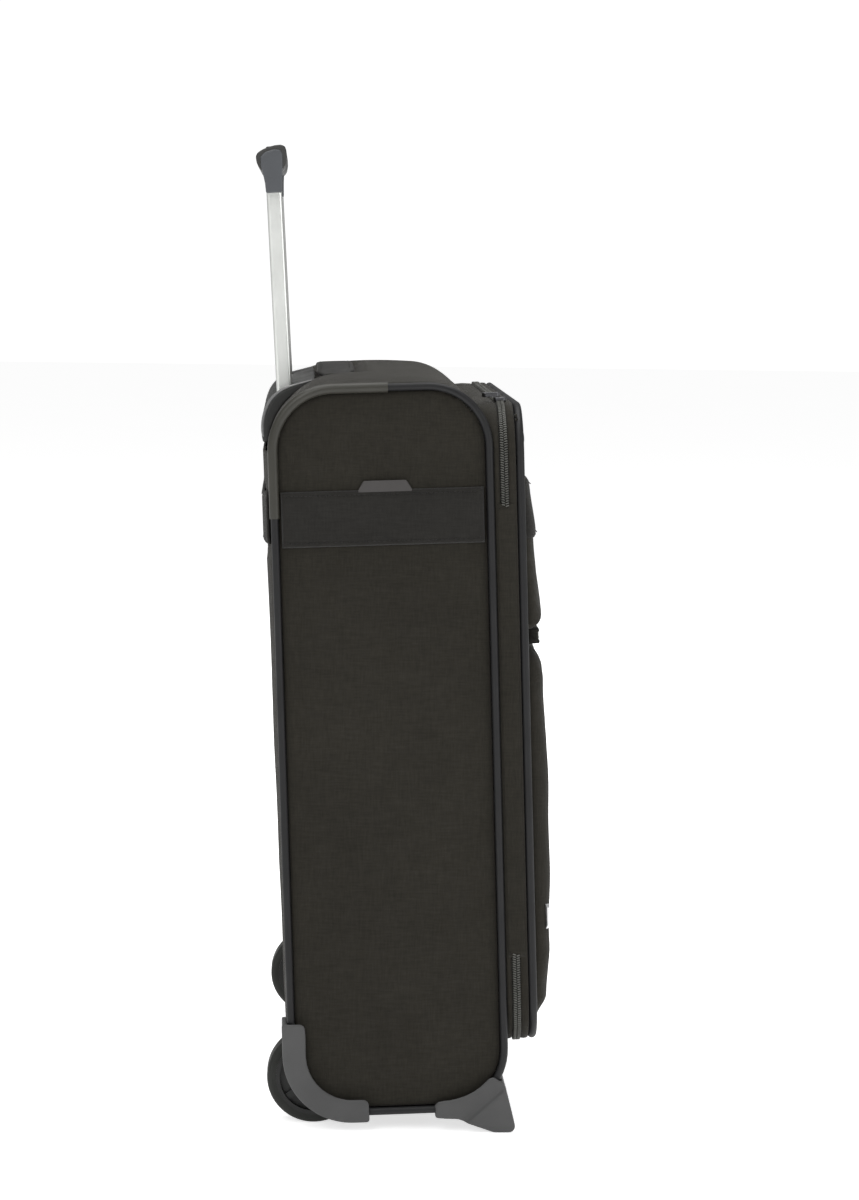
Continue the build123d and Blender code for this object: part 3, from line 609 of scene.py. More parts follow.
def drop_loose(made):
    work = bmesh.new()
    work.from_mesh(made.data)
    bmesh.ops.delete(work, geom=[v for v in work.verts if not v.link_faces], context="VERTS")
    work.to_mesh(made.data)
    work.free()


def in_wheel_well(point):
    x, y, z = point
    inside = WELL_WIDTH[0] < abs(y) < WELL_WIDTH[1]
    return inside and math.hypot(x - WHEEL[0], z - WHEEL[1]) < WELL_RADIUS


def back_bulge(x, y, z):
    rise = max(0.0, min(1.0, z / 460.0))
    return 4.4 * rise ** 0.7 * (0.75 if BELT[0] - 6 < z < BELT[1] + 6 else 1.0)


def top_bulge(x, y, z):
    """The padded crown of the top, lower under the carry handle."""
    along = max(0.0, 1 - ((x - 78) / 62) ** 2)
    crown = 7.0 * along * (1 - (y / 215) ** 2)
    under = max(0.0, min(1.0, (abs(x - HANDLE_X) - 15) / 9)) if abs(y) < 112 else 1.0
    beside = max(0.0, min(1.0, (abs(y) - 106) / 10))
    return crown * max(under, beside) + 0.8 * along


def shell_panels():
    straight = HEIGHT - 2 * CORNER
    corner = CORNER * math.pi / 2
    top_end = straight + 2 * corner + DEPTH - 2 * CORNER
    padded_side("side_panel_right_cloth", -1, "side_panel_right")
    padded_side("side_panel_left_cloth", 1, "side_panel_left")
    gusset("back_panel_cloth", 0, straight, back_bulge, "back_panel", in_wheel_well, steps=(90, 66))
    gusset("top_panel_cloth", straight, top_end, top_bulge, "top_panel", near_tube)
    gusset("bottom_panel_cloth", straight, top_end, lambda x, y, z: 0.0, "bottom_panel",
           in_wheel_well, flip=True)


def near_tube(point):
    local = TROLLEY.inverted() @ (CASE @ Vector(point))
    return abs(local.x) < 9.5 and abs(abs(local.y) - TUBE_Y) < 12 and local.z > 470


# Belts with their stitching
def band_height(edge, rise, soft, groove):
    """A band's height a distance inside its edge, with a groove where it is stitched."""
    stitched = 1 - min(abs(edge - STITCH_INSET) / 1.1, 1.0)
    return rise * (1 - math.exp(-edge / soft)) - groove * stitched


def belt_band(name, side, node):
    """The wide band on one side of the case, with rounded and stitched edges."""
    (low, high), left, right = BELT, 7.5, 150.5

    def place(up, along):
        x, z = left + (right - left) * along, low + (high - low) * up
        out = 0.35 + band_height(min(z - low, high - z, x - left, right - x), 2.3, 0.9, 0.55)
        return x, side * (SIDE_FACE + out + math.sin(math.pi * up) * 0.5), z

    verts = grid_points(24, 60, place)
    sewn(name, verts, 24, 60, 0.9, "belt", [node], "belt_fabric", "case")
    face = side * (SIDE_FACE + 2.35)
    lines = [((left + 4, z), (right - 4, z)) for z in (low + STITCH_INSET, high - STITCH_INSET)]
    lines.append(((right - STITCH_INSET, low + 4), (right - STITCH_INSET, high - 4)))
    rows_of = []
    for line in lines:
        rows_of += stitches([(x, face, z) for x, z in line], (0, side, 0))
    blocks(name + "_stitches", rows_of, "thread", "case", "belt_fabric")


def back_band():
    """The belt's run across the back, standing proud between two raised edges."""
    low, high, half = BELT[0] + 2.5, BELT[1] + 0.5, GUSSET_HALF - 1

    def place(up, along):
        y, z = half * (2 * along - 1), low + (high - low) * up
        ends = min(half - abs(y), 30) / 30
        out = 2.4 + 3.6 * math.sin(ends * math.pi / 2)
        return 1.2 - out - band_height(min(z - low, high - z), 1.3, 1.0, 0.5), y, z

    verts = grid_points(22, 80, place)
    sewn("back_belt_band", verts, 22, 80, 1.4, "belt", ["back_belt"], "belt_fabric", "case")
    rows_of = []
    for z in (low + STITCH_INSET, high - STITCH_INSET):
        rows_of += stitches([(-6.0, -165, z), (-6.0, 165, z)], (-1, 0, 0))
    blocks("back_belt_stitches", rows_of, "thread", "case", "belt_fabric")


# Round the opening: fabric strips, zip tapes and coils
def rim_back(point):
    """How far back the rim's fabric reaches: to the shell's rounded front corner."""
    (_, z), _ = point
    for centre in (CORNER, HEIGHT - CORNER):
        beyond = (z - centre) if centre > CORNER else (centre - z)
        if 0 < beyond < CORNER:
            return DEPTH - CORNER + math.sqrt(CORNER ** 2 - beyond ** 2) - 0.5
    return DEPTH + 0.2


def rim_section(point):
    back = rim_back(point)
    front = ZIP_X - 3.2
    return (
        (back, 0.9), (back + 0.8, 0.2), ((back + front) / 2, -0.15), (front - 0.6, 0.35), (front, 1.0),
        (front, 16.5), (front - 1.5, 17.0), (back, 17.0),
    )


def strip_section(back, front, crown=0.5, deep=3.4):
    def section(point):
        return (
            (back, 0.9), (back + 0.7, 0.3 - crown * 0.4), ((back + front) / 2, -crown * 0.3),
            (front - 0.7, 0.3 - crown * 0.4), (front, 0.9), (front, deep), (back, deep),
        )
    return section


def in_hinge(point):
    (y, z), _ = point
    return y < -LID_HALF + 12 and HINGE[0] < z < HINGE[1]


def open_ring(loop, section, skip):
    """A band that leaves out part of its loop, with closed ends."""
    start = next(k for k in range(len(loop)) if skip(loop[k - 1]) and not skip(loop[k]))
    kept = []
    for k in range(len(loop)):
        point = loop[(start + k) % len(loop)]
        if skip(point):
            break
        kept.append(point)
    verts = []
    size = len(section(kept[0]))
    for point in kept:
        (a, b), normal = point
        verts += [(x, a - normal[0] * inset, b - normal[1] * inset) for x, inset in section(point)]
    return verts, tube_faces(len(kept), size), kept


def zip_teeth(kept, x, phase, side):
    """Coil loops along a zip's edge, each a small slanted block."""
    path = [Vector((x, a + n[0] * 0.2, b + n[1] * 0.2)) for (a, b), n in kept]
    normals = [Vector((0, n[0], n[1])) for _, n in kept]
    placed, carry = [], phase
    for start, end, out in zip(path, path[1:], normals):
        run = end - start
        along = run.normalized()
        across = along.cross(out)
        slant = (along * 0.96 + across * (0.28 * side)).normalized()
        other = slant.cross(out)
        while carry < run.length:
            placed.append((start + along * carry + out * 0.7, (slant, other, out), (1.0, 2.9, 1.5)))
            carry += ZIP_PITCH
        carry -= run.length
    return placed


def rim_and_zip():
    loop = lid_loop(0)
    verts, faces = ring(loop, rim_section)
    piece("front_rim_cloth", verts, faces, CASE, "shell", "case", ["front_rim"], "shell_fabric")
    verts, faces = ring(loop, strip_section(LID_BACK + 0.2, LID_FRONT - 0.2))
    piece("lid_frame_cloth", verts, faces, CASE, "shell", "lid", ["lid_frame"], "shell_fabric")
    halves = (
        ("case", ZIP_X - 3.1, ZIP_X - 0.1, "main_zip_case", ZIP_X - 1.35, 0.0, 1),
        ("lid", ZIP_X + 0.1, ZIP_X + 2.6, "main_zip_lid", ZIP_X + 1.35, ZIP_PITCH / 2, -1),
    )
    for body, back, front, node, row, phase, side in halves:
        verts, faces, kept = open_ring(lid_loop(0.6), strip_section(back, front, 0.0, 2.6), in_hinge)
        piece(f"zip_tape_{body}", verts, faces, CASE, "tape", body, [node], "zip_plastic")
        kept = open_ring(lid_loop(0.6, 1.0), strip_section(back, front), in_hinge)[2]
        blocks(f"zip_teeth_{body}", zip_teeth(kept, row, phase, side), "teeth", body, "zip_plastic")


def lower_corners():
    """Fabric beside the opening's rounded lower corners, from the rim out to the piping."""
    inner, reach = LID_CORNER - 5, LID_CORNER - 1.5
    for side, word in ((-1, "right"), (1, "left")):
        def place(turned, share):
            turn = math.pi / 2 * turned
            radius = inner + (reach / max(math.cos(turn), math.sin(turn)) - inner) * share
            x = DEPTH + 0.2 - 1.2 * share ** 3 + wrinkle((radius, 18 * turned, 3), 12, 0.1)
            y = LID_HALF - LID_CORNER + radius * math.cos(turn)
            return x, side * y, LID_LOW + LID_CORNER - radius * math.sin(turn)

        verts, faces = grid_points(19, 7, place), grid_faces(19, 7)
        made = piece(f"lower_corner_cloth_{word}", verts, faces, CASE, "shell", None)
        thicken(made, 1.4)
        finish_piece(made, "shell", "case", slot="shell_fabric")


def hinge_cloth():
    """The fabric that hinges the lid, in place of the zip, on the right side."""
    low, high = HINGE[0] - 2, HINGE[1] + 2
    start, end = ZIP_X - 5.5, ZIP_X + 6.5

    def place(up, across):
        x, z = start + (end - start) * across, low + (high - low) * up
        out = 0.45 + 0.5 * math.sin(math.pi * across)
        out -= 0.35 * math.exp(-((across - 0.55) / 0.09) ** 2)
        out *= 0.6 + 0.4 * (1 - math.exp(-min(z - low, high - z) / 6))
        return x, -LID_HALF - out + wrinkle((x, 9, z), 25, 0.15), z

    verts = grid_points(60, 15, place)
    made = sewn("lid_hinge_cloth", verts, 60, 15, 0.8, "shell", ["hinge_tape"], "shell_fabric", None)
    held, free = (CASE @ Vector((ZIP_X + away, -LID_HALF, 275)) for away in (-3, 3))
    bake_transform(made)
    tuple(held)
    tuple(free)
    ends = []
    for z in (low + 3, high - 3):
        row = [(x, -LID_HALF - 0.8, z) for x in (start + 1.5, ZIP_X - 3.2)]
        ends += stitches(row, (0, -1, 0), 2.6, 1.8)
    blocks("lid_hinge_stitches", ends, "thread", "case", "shell_fabric")


# The lid's face: padded panel, two pockets, belt
# Heights on the lid and how far forward the pockets stand there
FRONT_PROFILE = (
    (50, 178.0), (62, 184.0), (80, 190.2), (116, 194.0), (175, 195.4), (250, 195.4),
    (337, 193.4), (412, 188.0), (453, 184.0), (474, 183.2), (490, 181.0), (505, 177.5),
)


def front_face(z):
    """How far forward the pockets stand at a height, along the middle."""
    for (z0, x0), (z1, x1) in zip(FRONT_PROFILE, FRONT_PROFILE[1:]):
        if z <= z1:
            return x0 + (x1 - x0) * ease((z - z0) / (z1 - z0))
    return FRONT_PROFILE[-1][1]


def rounded_edge(y, z, half, low, high, corner, reach):
    """0 at the border of a rounded rectangle, rising to 1 a reach inside it."""
    inset = inward(y, z - (low + high) / 2, half, (high - low) / 2, corner)
    share = max(0.0, min(1.0, inset / reach))
    return math.sqrt(1 - (1 - share) ** 2)


def pocket_cloth(name, low, high, corner, nodes, puff):
    """A padded pocket: rounded over at its edges, blown up as cloth, creased a little."""
    rows, columns = max(24, int((high - low) / 3.4)), 104
    half, middle_z = POCKET_HALF + 1.5, (low + high) / 2
    verts = []
    for y, b in rounded_grid(rows, columns, half, (high - low) / 2, corner, 0.65):
        z = middle_z + b
        rise = rounded_edge(y, z, half, low, high, corner, 13.0)
        x = POCKET_BACK + (front_face(z) - puff * 0.5 - POCKET_BACK) * rise
        verts.append((x, y, z))
    made = piece(name, verts, grid_faces(rows, columns), CASE, "shell", None)
    shifts = inflate(made, puff)
    back = CASE.inverted()
    for vertex, shift in zip(made.data.vertices, shifts):
        local = back @ vertex.co
        rise = rounded_edge(local.y, local.z, half, low, high, corner, 40.0)
        local.x += (back.to_3x3() @ shift).x * 0.5 * 1
        folds = wrinkle((3, local.y, local.z), 55, 1.5) + wrinkle((9, local.y, local.z * 0.6), 20, 0.5)
        local.x += folds * rise
        vertex.co = CASE @ local
    thicken(made, 1.8)
    return settle(made, nodes, "shell_fabric", "lid")


def lid_pad():
    """The lid's padded face inside its piping, behind the pockets."""
    rows, columns = 60, 60
    half, half_z, corner = LID_HALF - 5.6, (LID_HIGH - LID_LOW) / 2 - 5.6, LID_CORNER - 5.6
    verts = []
    for y, b in rounded_grid(rows, columns, half, half_z, corner, 0.6):
        share = max(0.0, min(1.0, inward(y, b, half, half_z, corner) / 9.0))
        rise = math.sqrt(1 - (1 - share) ** 2)
        verts.append((LID_FRONT + 1.2 + 2.2 * rise, y, (LID_LOW + LID_HIGH) / 2 + b))
    sewn("lid_panel_cloth", verts, rows, columns, 3.0, "shell", ["lid_panel"], "shell_fabric", "lid")


def front_band():
    """The belt across the upper pocket, following its face."""
    low, high, half = BELT[0] + 1, BELT[1] + 2.5, POCKET_HALF + 1.7

    def place(up, along):
        along -= math.sin(2 * math.pi * along) / (2 * math.pi) * 0.75
        y, z = half * (2 * along - 1), low + (high - low) * up
        rise = rounded_edge(y, 275, half, 0, 550, 1.0, 13.0)
        lift = band_height(min(z - low, high - z), 1.3, 0.9, 0.4) - 0.1
        lift -= 1.3 * ease(1 - (half - abs(y)) / 40)
        return POCKET_BACK + (front_face(z) + lift - POCKET_BACK) * rise, y, z

    verts = grid_points(22, 100, place)
    sewn("front_belt_band", verts, 22, 100, 1.2, "belt", ["front_belt"], "belt_fabric", "lid")
    rows_of = []
    for z in (low + STITCH_INSET, high - STITCH_INSET):
        x = front_face(z) + 0.95
        rows_of += stitches([(x, -POCKET_HALF + 14, z), (x, POCKET_HALF - 14, z)], (1, 0, 0))
    blocks("front_belt_stitches", rows_of, "thread", "lid", "belt_fabric")


def pocket_zip(name, z):
    """A straight zip between two welts, with its coil."""
    half = 166.0
    x = front_face(z) - 4.5
    verts = []
    section = ((POCKET_BACK + 1, -5.5), (x + 0.2, -5.2), (x + 0.6, -3.4), (x - 0.9, -3.0), (x - 0.9, 3.0),
               (x + 0.6, 3.4), (x + 0.2, 5.2), (POCKET_BACK + 1, 5.5))
    columns = 60
    for j in range(columns):
        y = -half - 6 + (2 * half + 12) * j / (columns - 1)
        verts += [(a, y, z + b) for a, b in section]
    faces = tube_faces(columns, len(section))
    made = piece(name, verts, faces, CASE, "tape", "lid", slot="zip_plastic")
    placed = []
    for k in range(int(2 * half / ZIP_PITCH)):
        y = -half + ZIP_PITCH * k
        for side in (-1, 1):
            along, across = Vector((0, 0.96, 0.28 * side)), Vector((0, -0.28 * side, 0.96))
            centre = Vector((x - 0.3, y + 0.44 * side, z + 1.25 * side))
            placed.append((centre, (along, across, Vector((1, 0, 0))), (1.0, 2.8, 1.3)))
    blocks(name + "_teeth", placed, "teeth", "lid", "zip_plastic")
    return made


def lid_front():
    lid_pad()
    pocket_cloth("upper_pocket_cloth", 346, 460.5, 6.0, ["upper_pocket"], 3.0)
    pocket_cloth("lower_pocket_cloth", 55, 333.5, 30.0, ["lower_pocket"], 5.0)
    pocket_cloth("lid_top_pad_cloth", 474.5, 500, 10.0, [], 1.0)
    front_band()
    upper = pocket_zip("upper_pocket_zip", 467.5)
    pocket_zip("lower_pocket_zip", 340.0)
    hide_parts("pocket_zips")


# Plastic parts: the frame's own shapes with softened edges
def round_off(made, voxel, rounds, cutters=()):
    """Takes the cutters away from a piece, then remeshes and relaxes it to round its edges."""
    for cutter in cutters:
        cut = made.modifiers.new("cut", "BOOLEAN")
        cut.operation = "DIFFERENCE"
        cut.object = cutter
    remesh = made.modifiers.new("even", "REMESH")
    remesh.mode = "VOXEL"
    remesh.voxel_size = voxel * MM
    relax = made.modifiers.new("relax", "SMOOTH")
    relax.factor = 0.5
    relax.iterations = rounds
    apply_modifiers(made)
    for cutter in cutters:
        bpy.data.objects.remove(cutter)


def softened(node, name, voxel, rounds, material, body, slot, cutter=None, shape=None):
    """A copy of a node, remeshed and relaxed so that its edges are rounded."""
    data = frame["nodes"][node].data.copy()
    made = new_object(name, data)
    round_off(made, voxel, rounds, [cutter] if cutter else [])
    if shape:
        back = CASE.inverted()
        for vertex in made.data.vertices:
            vertex.co = CASE @ Vector(shape(back @ vertex.co))
    return finish_piece(made, material, body, [node], slot)


# Corners of a guard's side plate: place, direction of the plate and rounding radius
GUARD_CORNERS = ((13, 70, -1, -1, 5.0), (-4, 70, 1, -1, 2.4), (57, 13, -1, -1, 4.6), (57, -4, -1, 1, 2.0))


def guard_cutter(side):
    """Wedges that round the corners of a guard's side plate."""
    wedges = []
    for cx, cz, sx, sz, r in GUARD_CORNERS:
        edge = [(cx - sx, cz - sz), (cx + sx * r, cz - sz)]
        for k in range(9):
            turn = math.pi / 2 * k / 8
            edge.append((cx + sx * r * (1 - math.sin(turn)), cz + sz * r * (1 - math.cos(turn))))
        edge.append((cx - sx, cz + sz * r))
        wedges.append(prism(edge, side * 181, side * 210))
    return piece("guard_cutter", *joined(wedges), CASE, "guard", None)


def domed_guard(point):
    """Swells the guard's side plate a little across its width."""
    x, y, z = point
    inset = inward(x - DEPTH / 2, z - HEIGHT / 2, DEPTH / 2, HEIGHT / 2, CORNER)
    across = max(0.0, 1 - ((inset - 4.5) / 8.8) ** 2)
    lift = 1.5 * math.sqrt(across) * ease((abs(y) - 198) / 3)
    return x, y + math.copysign(lift, y), z


def creased_foot(point):
    """Swells the foot's blade below a crease that runs down from its front edge."""
    x, y, z = point
    run = Vector((-20.0, -16.5)).normalized()
    away = Vector((x - 154.0, z - 19.0))
    below = run.x * away.y - run.y * away.x
    lift = (1.2 + 3.2 * ease(below / 3.2) * ease((z + 17) / 14)) * ease((abs(y) - 192) / 8)
    rim = min(ease((x - 104) / 3), 1.0)
    return x, y + math.copysign(lift * rim, y), z


def low_bezel(point):
    """Brings the bezel closer to the shell's rounded corner, straight down beside the tubes."""
    x, y, z = point
    away = Vector((x - CORNER, z - (HEIGHT - CORNER)))
    if away.length <= CORNER:
        return x, y, z
    heading = away.normalized()
    keep = 0.45 + 0.55 * ease((-heading.x - 0.35) / 0.5)
    drop = (away.length - CORNER) * (1 - keep)
    beside_tube = ease((20 - abs(abs(y) - TUBE_Y)) / 6)
    lowered = Vector((x, z)) - heading * drop
    sunk = Vector((x, z - drop / max(heading.y, 0.5)))
    place = lowered.lerp(sunk, beside_tube)
    return place.x, y, place.y


def plastics():
    moulded_pieces = [
        ("trolley_bezel", "trolley_bezel_soft", 0.9, 3, "bezel", "case", "bezel_plastic", None, low_bezel),
        ("handle_caps", "handle_caps_soft", 0.5, 4, "bezel", "case", "bezel_plastic"),
        ("strap_buckle", "strap_buckle_soft", 0.7, 4, "bezel", "case", "bezel_plastic"),
        ("id_tag", "address_tag_soft", 0.35, 3, "tag", "address_tag", "tag_plastic"),
    ]
    for zip_name in ("main", "upper", "lower"):
        for part, word, voxel, rounds in (("slider", "slider_body", 0.4, 5), ("pull", "pull_tab", 0.3, 3)):
            moulded_pieces.append((f"{zip_name}_{part}", f"{zip_name}_{word}", voxel, rounds, "slider",
                                   f"{zip_name}_zip_{part}", "zip_metal"))
    for side, word in ((-1, "right"), (1, "left")):
        softened(f"wheel_housing_{word}", f"corner_guard_{word}", 0.8, 5, "guard", "case",
                 "guard_plastic", guard_cutter(side), domed_guard)
        softened(f"front_foot_{word}", f"front_foot_{word}_soft", 0.9, 12, "guard", "case",
                 "guard_plastic", None, creased_foot)
    for moulded_piece in moulded_pieces:
        softened(*moulded_piece)


def arc_through(first, second, third, count):
    """Points along the circle through three places in a side plane, with outward normals."""
    (ax, az), (bx, bz), (cx, cz) = first, second, third
    d = 2 * (ax * (bz - cz) + bx * (cz - az) + cx * (az - bz))
    a2, b2, c2 = ax * ax + az * az, bx * bx + bz * bz, cx * cx + cz * cz
    mx = (a2 * (bz - cz) + b2 * (cz - az) + c2 * (az - bz)) / d
    mz = (a2 * (cx - bx) + b2 * (ax - cx) + c2 * (bx - ax)) / d
    radius = math.hypot(ax - mx, az - mz)
    start, end = math.atan2(az - mz, ax - mx), math.atan2(cz - mz, cx - mx)
    if end > start:
        end -= 2 * math.pi
    points = []
    for k in range(count):
        turn = start + (end - start) * k / (count - 1)
        normal = (math.cos(turn), math.sin(turn))
        points.append(((mx + radius * normal[0], mz + radius * normal[1]), normal))
    return points


# Three places on the bezel's outer face, seen from the side
BEZEL_ARC = ((-4.4, 484), (5.0, 517.5), (33.0, 529.8))


def emblem():
    """A small plain metal badge on the edge of the lower pocket."""
    out, up = Vector((0.6, -0.8, 0)), Vector((0, 0, 1))
    badge = (Vector((189.9, -185.2, 138.5)), (up, out.cross(up), out), (18, 3.4, 1.2))
    blocks("emblem_badge", [badge], "emblem", "lid", "emblem_metal", ["emblem_plate"])


def bezel_details():
    """Pale edging round both ends of the bezel, which is painted highlight where light catches its rounded
    ends, and fine ribs across its middle.
    """
    for side, word in ((-1, "right"), (1, "left")):
        verts = []
        arc = arc_through(*BEZEL_ARC, 40)
        for k, ((x, z), (nx, nz)) in enumerate(arc):
            ends = min(k, len(arc) - 1 - k) / 4
            size = math.sqrt(max(0.02, 1 - (1 - min(1.0, ends)) ** 2))
            for j in range(12):
                turn = 2 * math.pi * j / 12
                out, along = 1.5 * size * math.cos(turn) - 0.9, 3.4 * size * math.sin(turn)
                verts.append(low_bezel((x + nx * out, side * 127.0 + along, z + nz * out)))
        # The edging's pale colour is a painted highlight on the bezel's rounded ends.
        piece(f"bezel_highlight_edging_{word}", verts, tube_faces(len(arc), 12), CASE, "trim", "case",
              slot="bezel_plastic")
    ribs = []
    for (x, z), (nx, nz) in arc_through(*BEZEL_ARC, 24)[3:-7:2]:
        out = Vector((nx, 0, nz))
        centre, side = Vector(low_bezel((x, 0, z))) + out * 0.1, Vector((0, 1, 0))
        ribs.append((centre, (side, out.cross(side), out), (174, 1.3, 1.0)))
    blocks("bezel_ribs", ribs, "bezel", "case", "bezel_plastic")


def prism(outline, start, end):
    """A closed bar with the same side view from one width to another."""
    count = len(outline)
    verts = [(x, y, z) for y in (start, end) for x, z in outline]
    faces = [tuple(range(count)), tuple(range(2 * count - 1, count - 1, -1))]
    faces += [(k, k + count, (k + 1) % count + count, (k + 1) % count) for k in range(count)]
    return verts, faces


def moulded_bars(name, bars, voxel, rounds, matrix, material, body, nodes, slot):
    """Bars joined into one piece with rounded edges."""
    made = piece(name, *joined(prism(*bar) for bar in bars), matrix, material, None)
    round_off(made, voxel, rounds)
    return finish_piece(made, material, body, nodes, slot)


# Side views of the grip's soft wrap and of the moulding under it, in the trolley's frame
GRIP_WRAP = (
    (-8.0, 677.0), (-10.2, 679.6), (-11.6, 683.5), (-11.9, 687.5), (-10.6, 690.0),
    (-7.4, 692.0), (-3.0, 693.8), (2.0, 694.9), (6.4, 695.2), (9.4, 694.0),
    (10.4, 691.0), (10.4, 685.0), (9.4, 680.6), (7.6, 678.0), (0.0, 676.2),
)
GRIP_CORE = (
    (-5.8, 661.0), (-6.2, 668.0), (-7.4, 675.0), (-8.6, 681.0), (-8.4, 687.4), (-5.0, 690.4), (1.0, 692.0),
    (5.6, 691.6), (7.4, 688.4), (7.2, 681.0), (6.4, 672.0), (5.9, 661.0),
)


def grip():
    """The grip: two end pieces with necks round the tubes, and a softer wrap over the bar."""
    ends = [(GRIP_CORE, 90.0, 117.4), (GRIP_CORE, -117.4, -90.0)]
    moulded_bars("grip_ends", ends, 0.6, 5, TROLLEY, "grip", "trolley_grip", ["grip_base"], "grip_plastic")
    moulded_bars("grip_bar", [(GRIP_WRAP, -116.6, 116.6)], 0.7, 6, TROLLEY, "wrap", "trolley_grip",
                 ["grip_cover"], "grip_plastic")
    softened("grip_button", "release_button", 0.4, 3, "button", "release", "button_plastic")


# The carry handle: place front to back, half length, height at its ends, rise of its arch
HANDLE_X, HANDLE_HALF, HANDLE_REST, HANDLE_RISE = 50.0, 98.0, 527.6, 4.2


def handle_height(y):
    """The middle of the carry handle's webbing: a low arch."""
    return HANDLE_REST + HANDLE_RISE * (1 - (y / HANDLE_HALF) ** 2)


def carry_handle():
    """The top handle in webbing with stitched edges; it narrows where it meets its caps."""
    rows, around = 90, 20
    verts = []
    for i in range(rows):
        y = -HANDLE_HALF + 2 * HANDLE_HALF * i / (rows - 1)
        soft = ease((HANDLE_HALF - abs(y)) / 26)
        width, thick = 8.5 + 5.5 * soft, 1.3 + 0.9 * soft
        middle_z = handle_height(y) + wrinkle((2, y, 1), 30, 0.15)
        for j in range(around):
            turn = 2 * math.pi * j / around
            across = math.copysign(abs(math.cos(turn)) ** 0.45, math.cos(turn)) * width
            high = math.copysign(abs(math.sin(turn)) ** 0.7, math.sin(turn)) * thick
            verts.append((HANDLE_X + across, y, middle_z + high))
    parts = [(verts, tube_faces(rows, around))]
    for y in (-93.0, 93.0):
        corners = ((-7.6, -1.2), (7.6, -1.2), (7.6, 1.2), (-7.6, 1.2))
        leg = [(HANDLE_X + a, y + b, z) for z in (509.0, HANDLE_REST) for a, b in corners]
        parts.append((leg, BLOCK_FACES))
    piece("carry_handle_strap", *joined(parts), CASE, "belt", "carry_handle", ["top_handle"], "belt_fabric")
    rows_of = []
    for x in (HANDLE_X - 10.5, HANDLE_X + 10.5):
        path = [(x, y, handle_height(y) + 1.9) for y in range(-72, 73, 6)]
        rows_of += stitches(path, (0, 0, 1))
    blocks("carry_handle_stitches", rows_of, "thread", "carry_handle", "belt_fabric")


def lining_bag():
    """The loose lining inside the shell: hollow, open to the front, clear of the wheel wells."""
    side_view = ((34, 9), (108, 9), (146, 48), (146, 477), (108, 507), (42, 507), (34, 499))
    verts, faces = prism(side_view, -187, 187)
    made = piece("lining_bag", verts, faces, CASE, "lining", None)
    cutters = []
    for y in (-165.5, 165.5):
        well, well_faces = prism(((30, 5), (63, 5), (63, 69), (30, 69)), y - 22.5, y + 22.5)
        cutters.append(piece("well_cutter", well, well_faces, CASE, "lining", None))
    round_off(made, 5.0, 6, cutters)
    back = CASE.inverted()
    work = bmesh.new()
    work.from_mesh(made.data)
    front = [f for f in work.faces if all((back @ v.co).x > 141.5 for v in f.verts)]
    bmesh.ops.delete(work, geom=front, context="FACES")
    work.normal_update()
    for vert in work.verts:
        local = back @ vert.co
        ripple = wrinkle((local.x, local.y, local.z * 0.5), 38, 2.2) + wrinkle(local, 14, 0.7)
        vert.co -= vert.normal * (abs(ripple) + 0.3) * MM
    work.to_mesh(made.data)
    work.free()
    thicken(made, 0.8)
    drop_loose(made)
    finish_piece(made, "lining", "case", ["case_lining"], "lining_fabric")


def ribbon(name, y, nodes=()):
    """A flat strap standing on the back lining, slightly rippled, with folded ends."""
    def place(up, share):
        z, across = 92.0 + 376.0 * up, 12.2 * (2 * share - 1)
        lift = 0.5 * abs(wrinkle((y, 4, z), 40, 1.0)) + (0.9 if min(z - 92, 468 - z) < 14 else 0)
        x = 36.6 + lift - 0.25 * (across / 12.2) ** 2
        return x, y + across + wrinkle((y, 8, z), 70, 0.4), z

    made = piece(name, grid_points(120, 9, place), grid_faces(120, 9), CASE, "belt", None)
    thicken(made, 1.1)
    return finish_piece(made, "belt", "case", nodes, "belt_fabric")


def sheet(name, x, half, low, high, corner, bow, ripple, thick, material, body, nodes, slot):
    """A thin cloth sheet across the lid, held at its border and bowed in the middle."""
    half_z, middle_z = (high - low) / 2, (low + high) / 2
    verts = []
    for y, b in rounded_grid(56, 64, half, half_z, corner, 0.5):
        share = max(0.0, min(1.0, inward(y, b, half, half_z, corner) / 40.0))
        shift = (bow + wrinkle((x, y, b), 45, ripple)) * share
        verts.append((x - shift, y, middle_z + b))
    made = piece(name, verts, grid_faces(56, 64), CASE, material, None)
    thicken(made, thick)
    return finish_piece(made, material, body, nodes, slot)


def interior():
    lining_bag()
    ribbon("packing_strap_right", -70.0, ["packing_straps"])
    ribbon("packing_strap_left", 70.0)
    sheet("lid_lining_cloth", 174.0, 192.6, 49.4, 503.6, 30.0, 0.4, 0.3, 0.5, "lining", "lid", (),
          "lining_fabric")
    sheet("lid_mesh_cloth", 173.0, 186.0, 75.0, 322.0, 12.0, 1.2, 0.6, 0.6, "mesh", "lid",
          ["lid_mesh_pocket"], "mesh")
    hem = ((171.0, 320.0), (172.6, 319.6), (173.2, 323.0), (172.6, 326.4), (171.0, 326.0))
    verts, faces = prism(hem, -186, 186)
    piece("lid_mesh_hem", verts, faces, CASE, "belt", "lid", slot="mesh", smooth=False)


PLAIN = {
    "piping_right": "piping", "piping_left": "piping", "lid_piping": "piping",
    "corner_sleeves": "sleeve", "back_board": "hub", "front_frame_wire": "tape",
    "outer_tubes": "tube", "mid_tubes": "tube", "inner_tubes": "tube", "tube_base": "bezel",
    "wheel_axles": "steel", "corner_screws": "guard",
    "tyre_right": "tyre", "tyre_left": "tyre", "hub_right": "hub", "hub_left": "hub",
    "release_rods": "steel", "lock_blocks": "bezel", "lock_pin_right": "steel", "lock_pin_left": "steel",
}


def frame_materials():
    for name, node in frame["nodes"].items():
        if node.hide_render:
            continue
        node.data.materials.clear()
        node.data.materials.append(MATERIALS[PLAIN[name]])


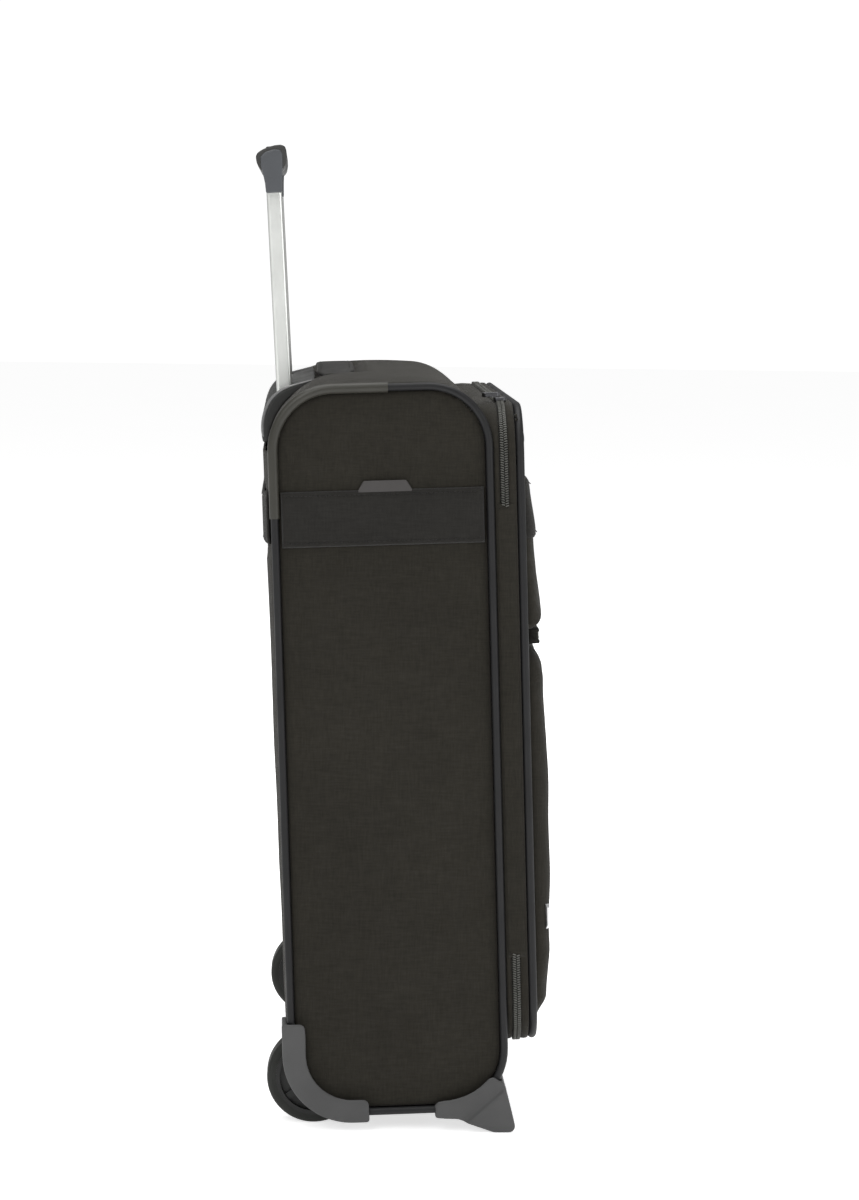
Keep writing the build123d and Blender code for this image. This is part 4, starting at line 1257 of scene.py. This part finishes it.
# The set: floor, light and camera
def stage():
    """A pale floor and four soft lamps; the back lamp leaves no glare on metal."""
    bpy.ops.mesh.primitive_plane_add(size=30, location=(0, 0, 0))
    floor = bpy.context.object
    floor.name = "floor"
    paint = Nodes("floor_paint")
    paint.tint([255 * 0.9 ** (1 / 2.2)] * 3, paint.between(paint.noise(2), 0.995, 1.005))
    paint.value("Roughness", 0.95)
    paint.value("Specular IOR Level", 0.0)
    paint.value("Emission Color", (1, 1, 1, 1))
    seen_directly = paint.add("ShaderNodeLightPath").outputs["Is Camera Ray"]
    glow = paint.maths("ADD", paint.maths("MULTIPLY", seen_directly, 0.26), 0.42)
    paint.link(glow, paint.shader.inputs["Emission Strength"])
    floor.data.materials.append(paint.material)
    studio()
    lamps = (
        ("key", (-1.4, -2.8, 2.6), 2.2, 46),
        ("fill", (2.4, -1.8, 1.2), 1.8, 16),
        ("back", (0.6, 2.6, 2.2), 2.0, 40),
        ("top", (0.0, 0.0, 3.4), 3.0, 80),
    )
    for name, place, size, power in lamps:
        light = bpy.data.lights.new(name, "AREA")
        light.size = size
        light.energy = power
        lamp = bpy.data.objects.new(name, light)
        lamp.location = place
        lamp.visible_glossy = name != "back"
        lamp.rotation_euler = (Vector((0, 0, 0.3)) - Vector(place)).to_track_quat("-Z", "Y").to_euler()
        bpy.context.scene.collection.objects.link(lamp)


def studio():
    """A white backdrop for the camera that lights the object only softly."""
    world = bpy.data.worlds.new("studio")
    world.use_nodes = True
    tree = world.node_tree
    path = tree.nodes.new("ShaderNodeLightPath")
    level = tree.nodes.new("ShaderNodeMapRange")
    level.inputs["To Min"].default_value = 0.32
    level.inputs["To Max"].default_value = 1.05
    tree.links.new(path.outputs["Is Camera Ray"], level.inputs["Value"])
    backdrop = tree.nodes["Background"]
    backdrop.inputs["Color"].default_value = (1, 1, 1, 1)
    tree.links.new(level.outputs[0], backdrop.inputs["Strength"])
    bpy.context.scene.world = world
    bpy.context.scene.view_settings.view_transform = "Standard"


CAMERA_FROM_SIDE = 2.24
CAMERA_HEIGHT = 0.63
CAMERA_PITCH, CAMERA_TURN, CAMERA_ROLL = 6.25, -2.38, 0.77
FOCAL_IN_FRAME_HEIGHTS = 3195 / 1200


def camera():
    lens = bpy.data.cameras.new("camera")
    lens.sensor_fit = "VERTICAL"
    lens.sensor_height = 24.0
    lens.lens = 24.0 * FOCAL_IN_FRAME_HEIGHTS
    view = bpy.data.objects.new("camera", lens)
    wheel_x = middle("wheel_right_spin").x
    place = Matrix.Translation((wheel_x - 0.015, -0.2 - CAMERA_FROM_SIDE, CAMERA_HEIGHT))
    aim = Euler((math.radians(90 - CAMERA_PITCH), 0, math.radians(CAMERA_TURN)))
    roll = Matrix.Rotation(math.radians(CAMERA_ROLL), 4, "Z")
    view.matrix_world = place @ aim.to_matrix().to_4x4() @ roll
    bpy.context.scene.collection.objects.link(view)
    bpy.context.scene.camera = view


shell_panels()
belt_band("side_belt_right_band", -1, "side_belt_right")
belt_band("side_belt_left_band", 1, "side_belt_left")
back_band()
rim_and_zip()
lower_corners()
hinge_cloth()
lid_front()
interior()
plastics()
bezel_details()
emblem()
grip()
carry_handle()
frame_materials()
stage()
camera()
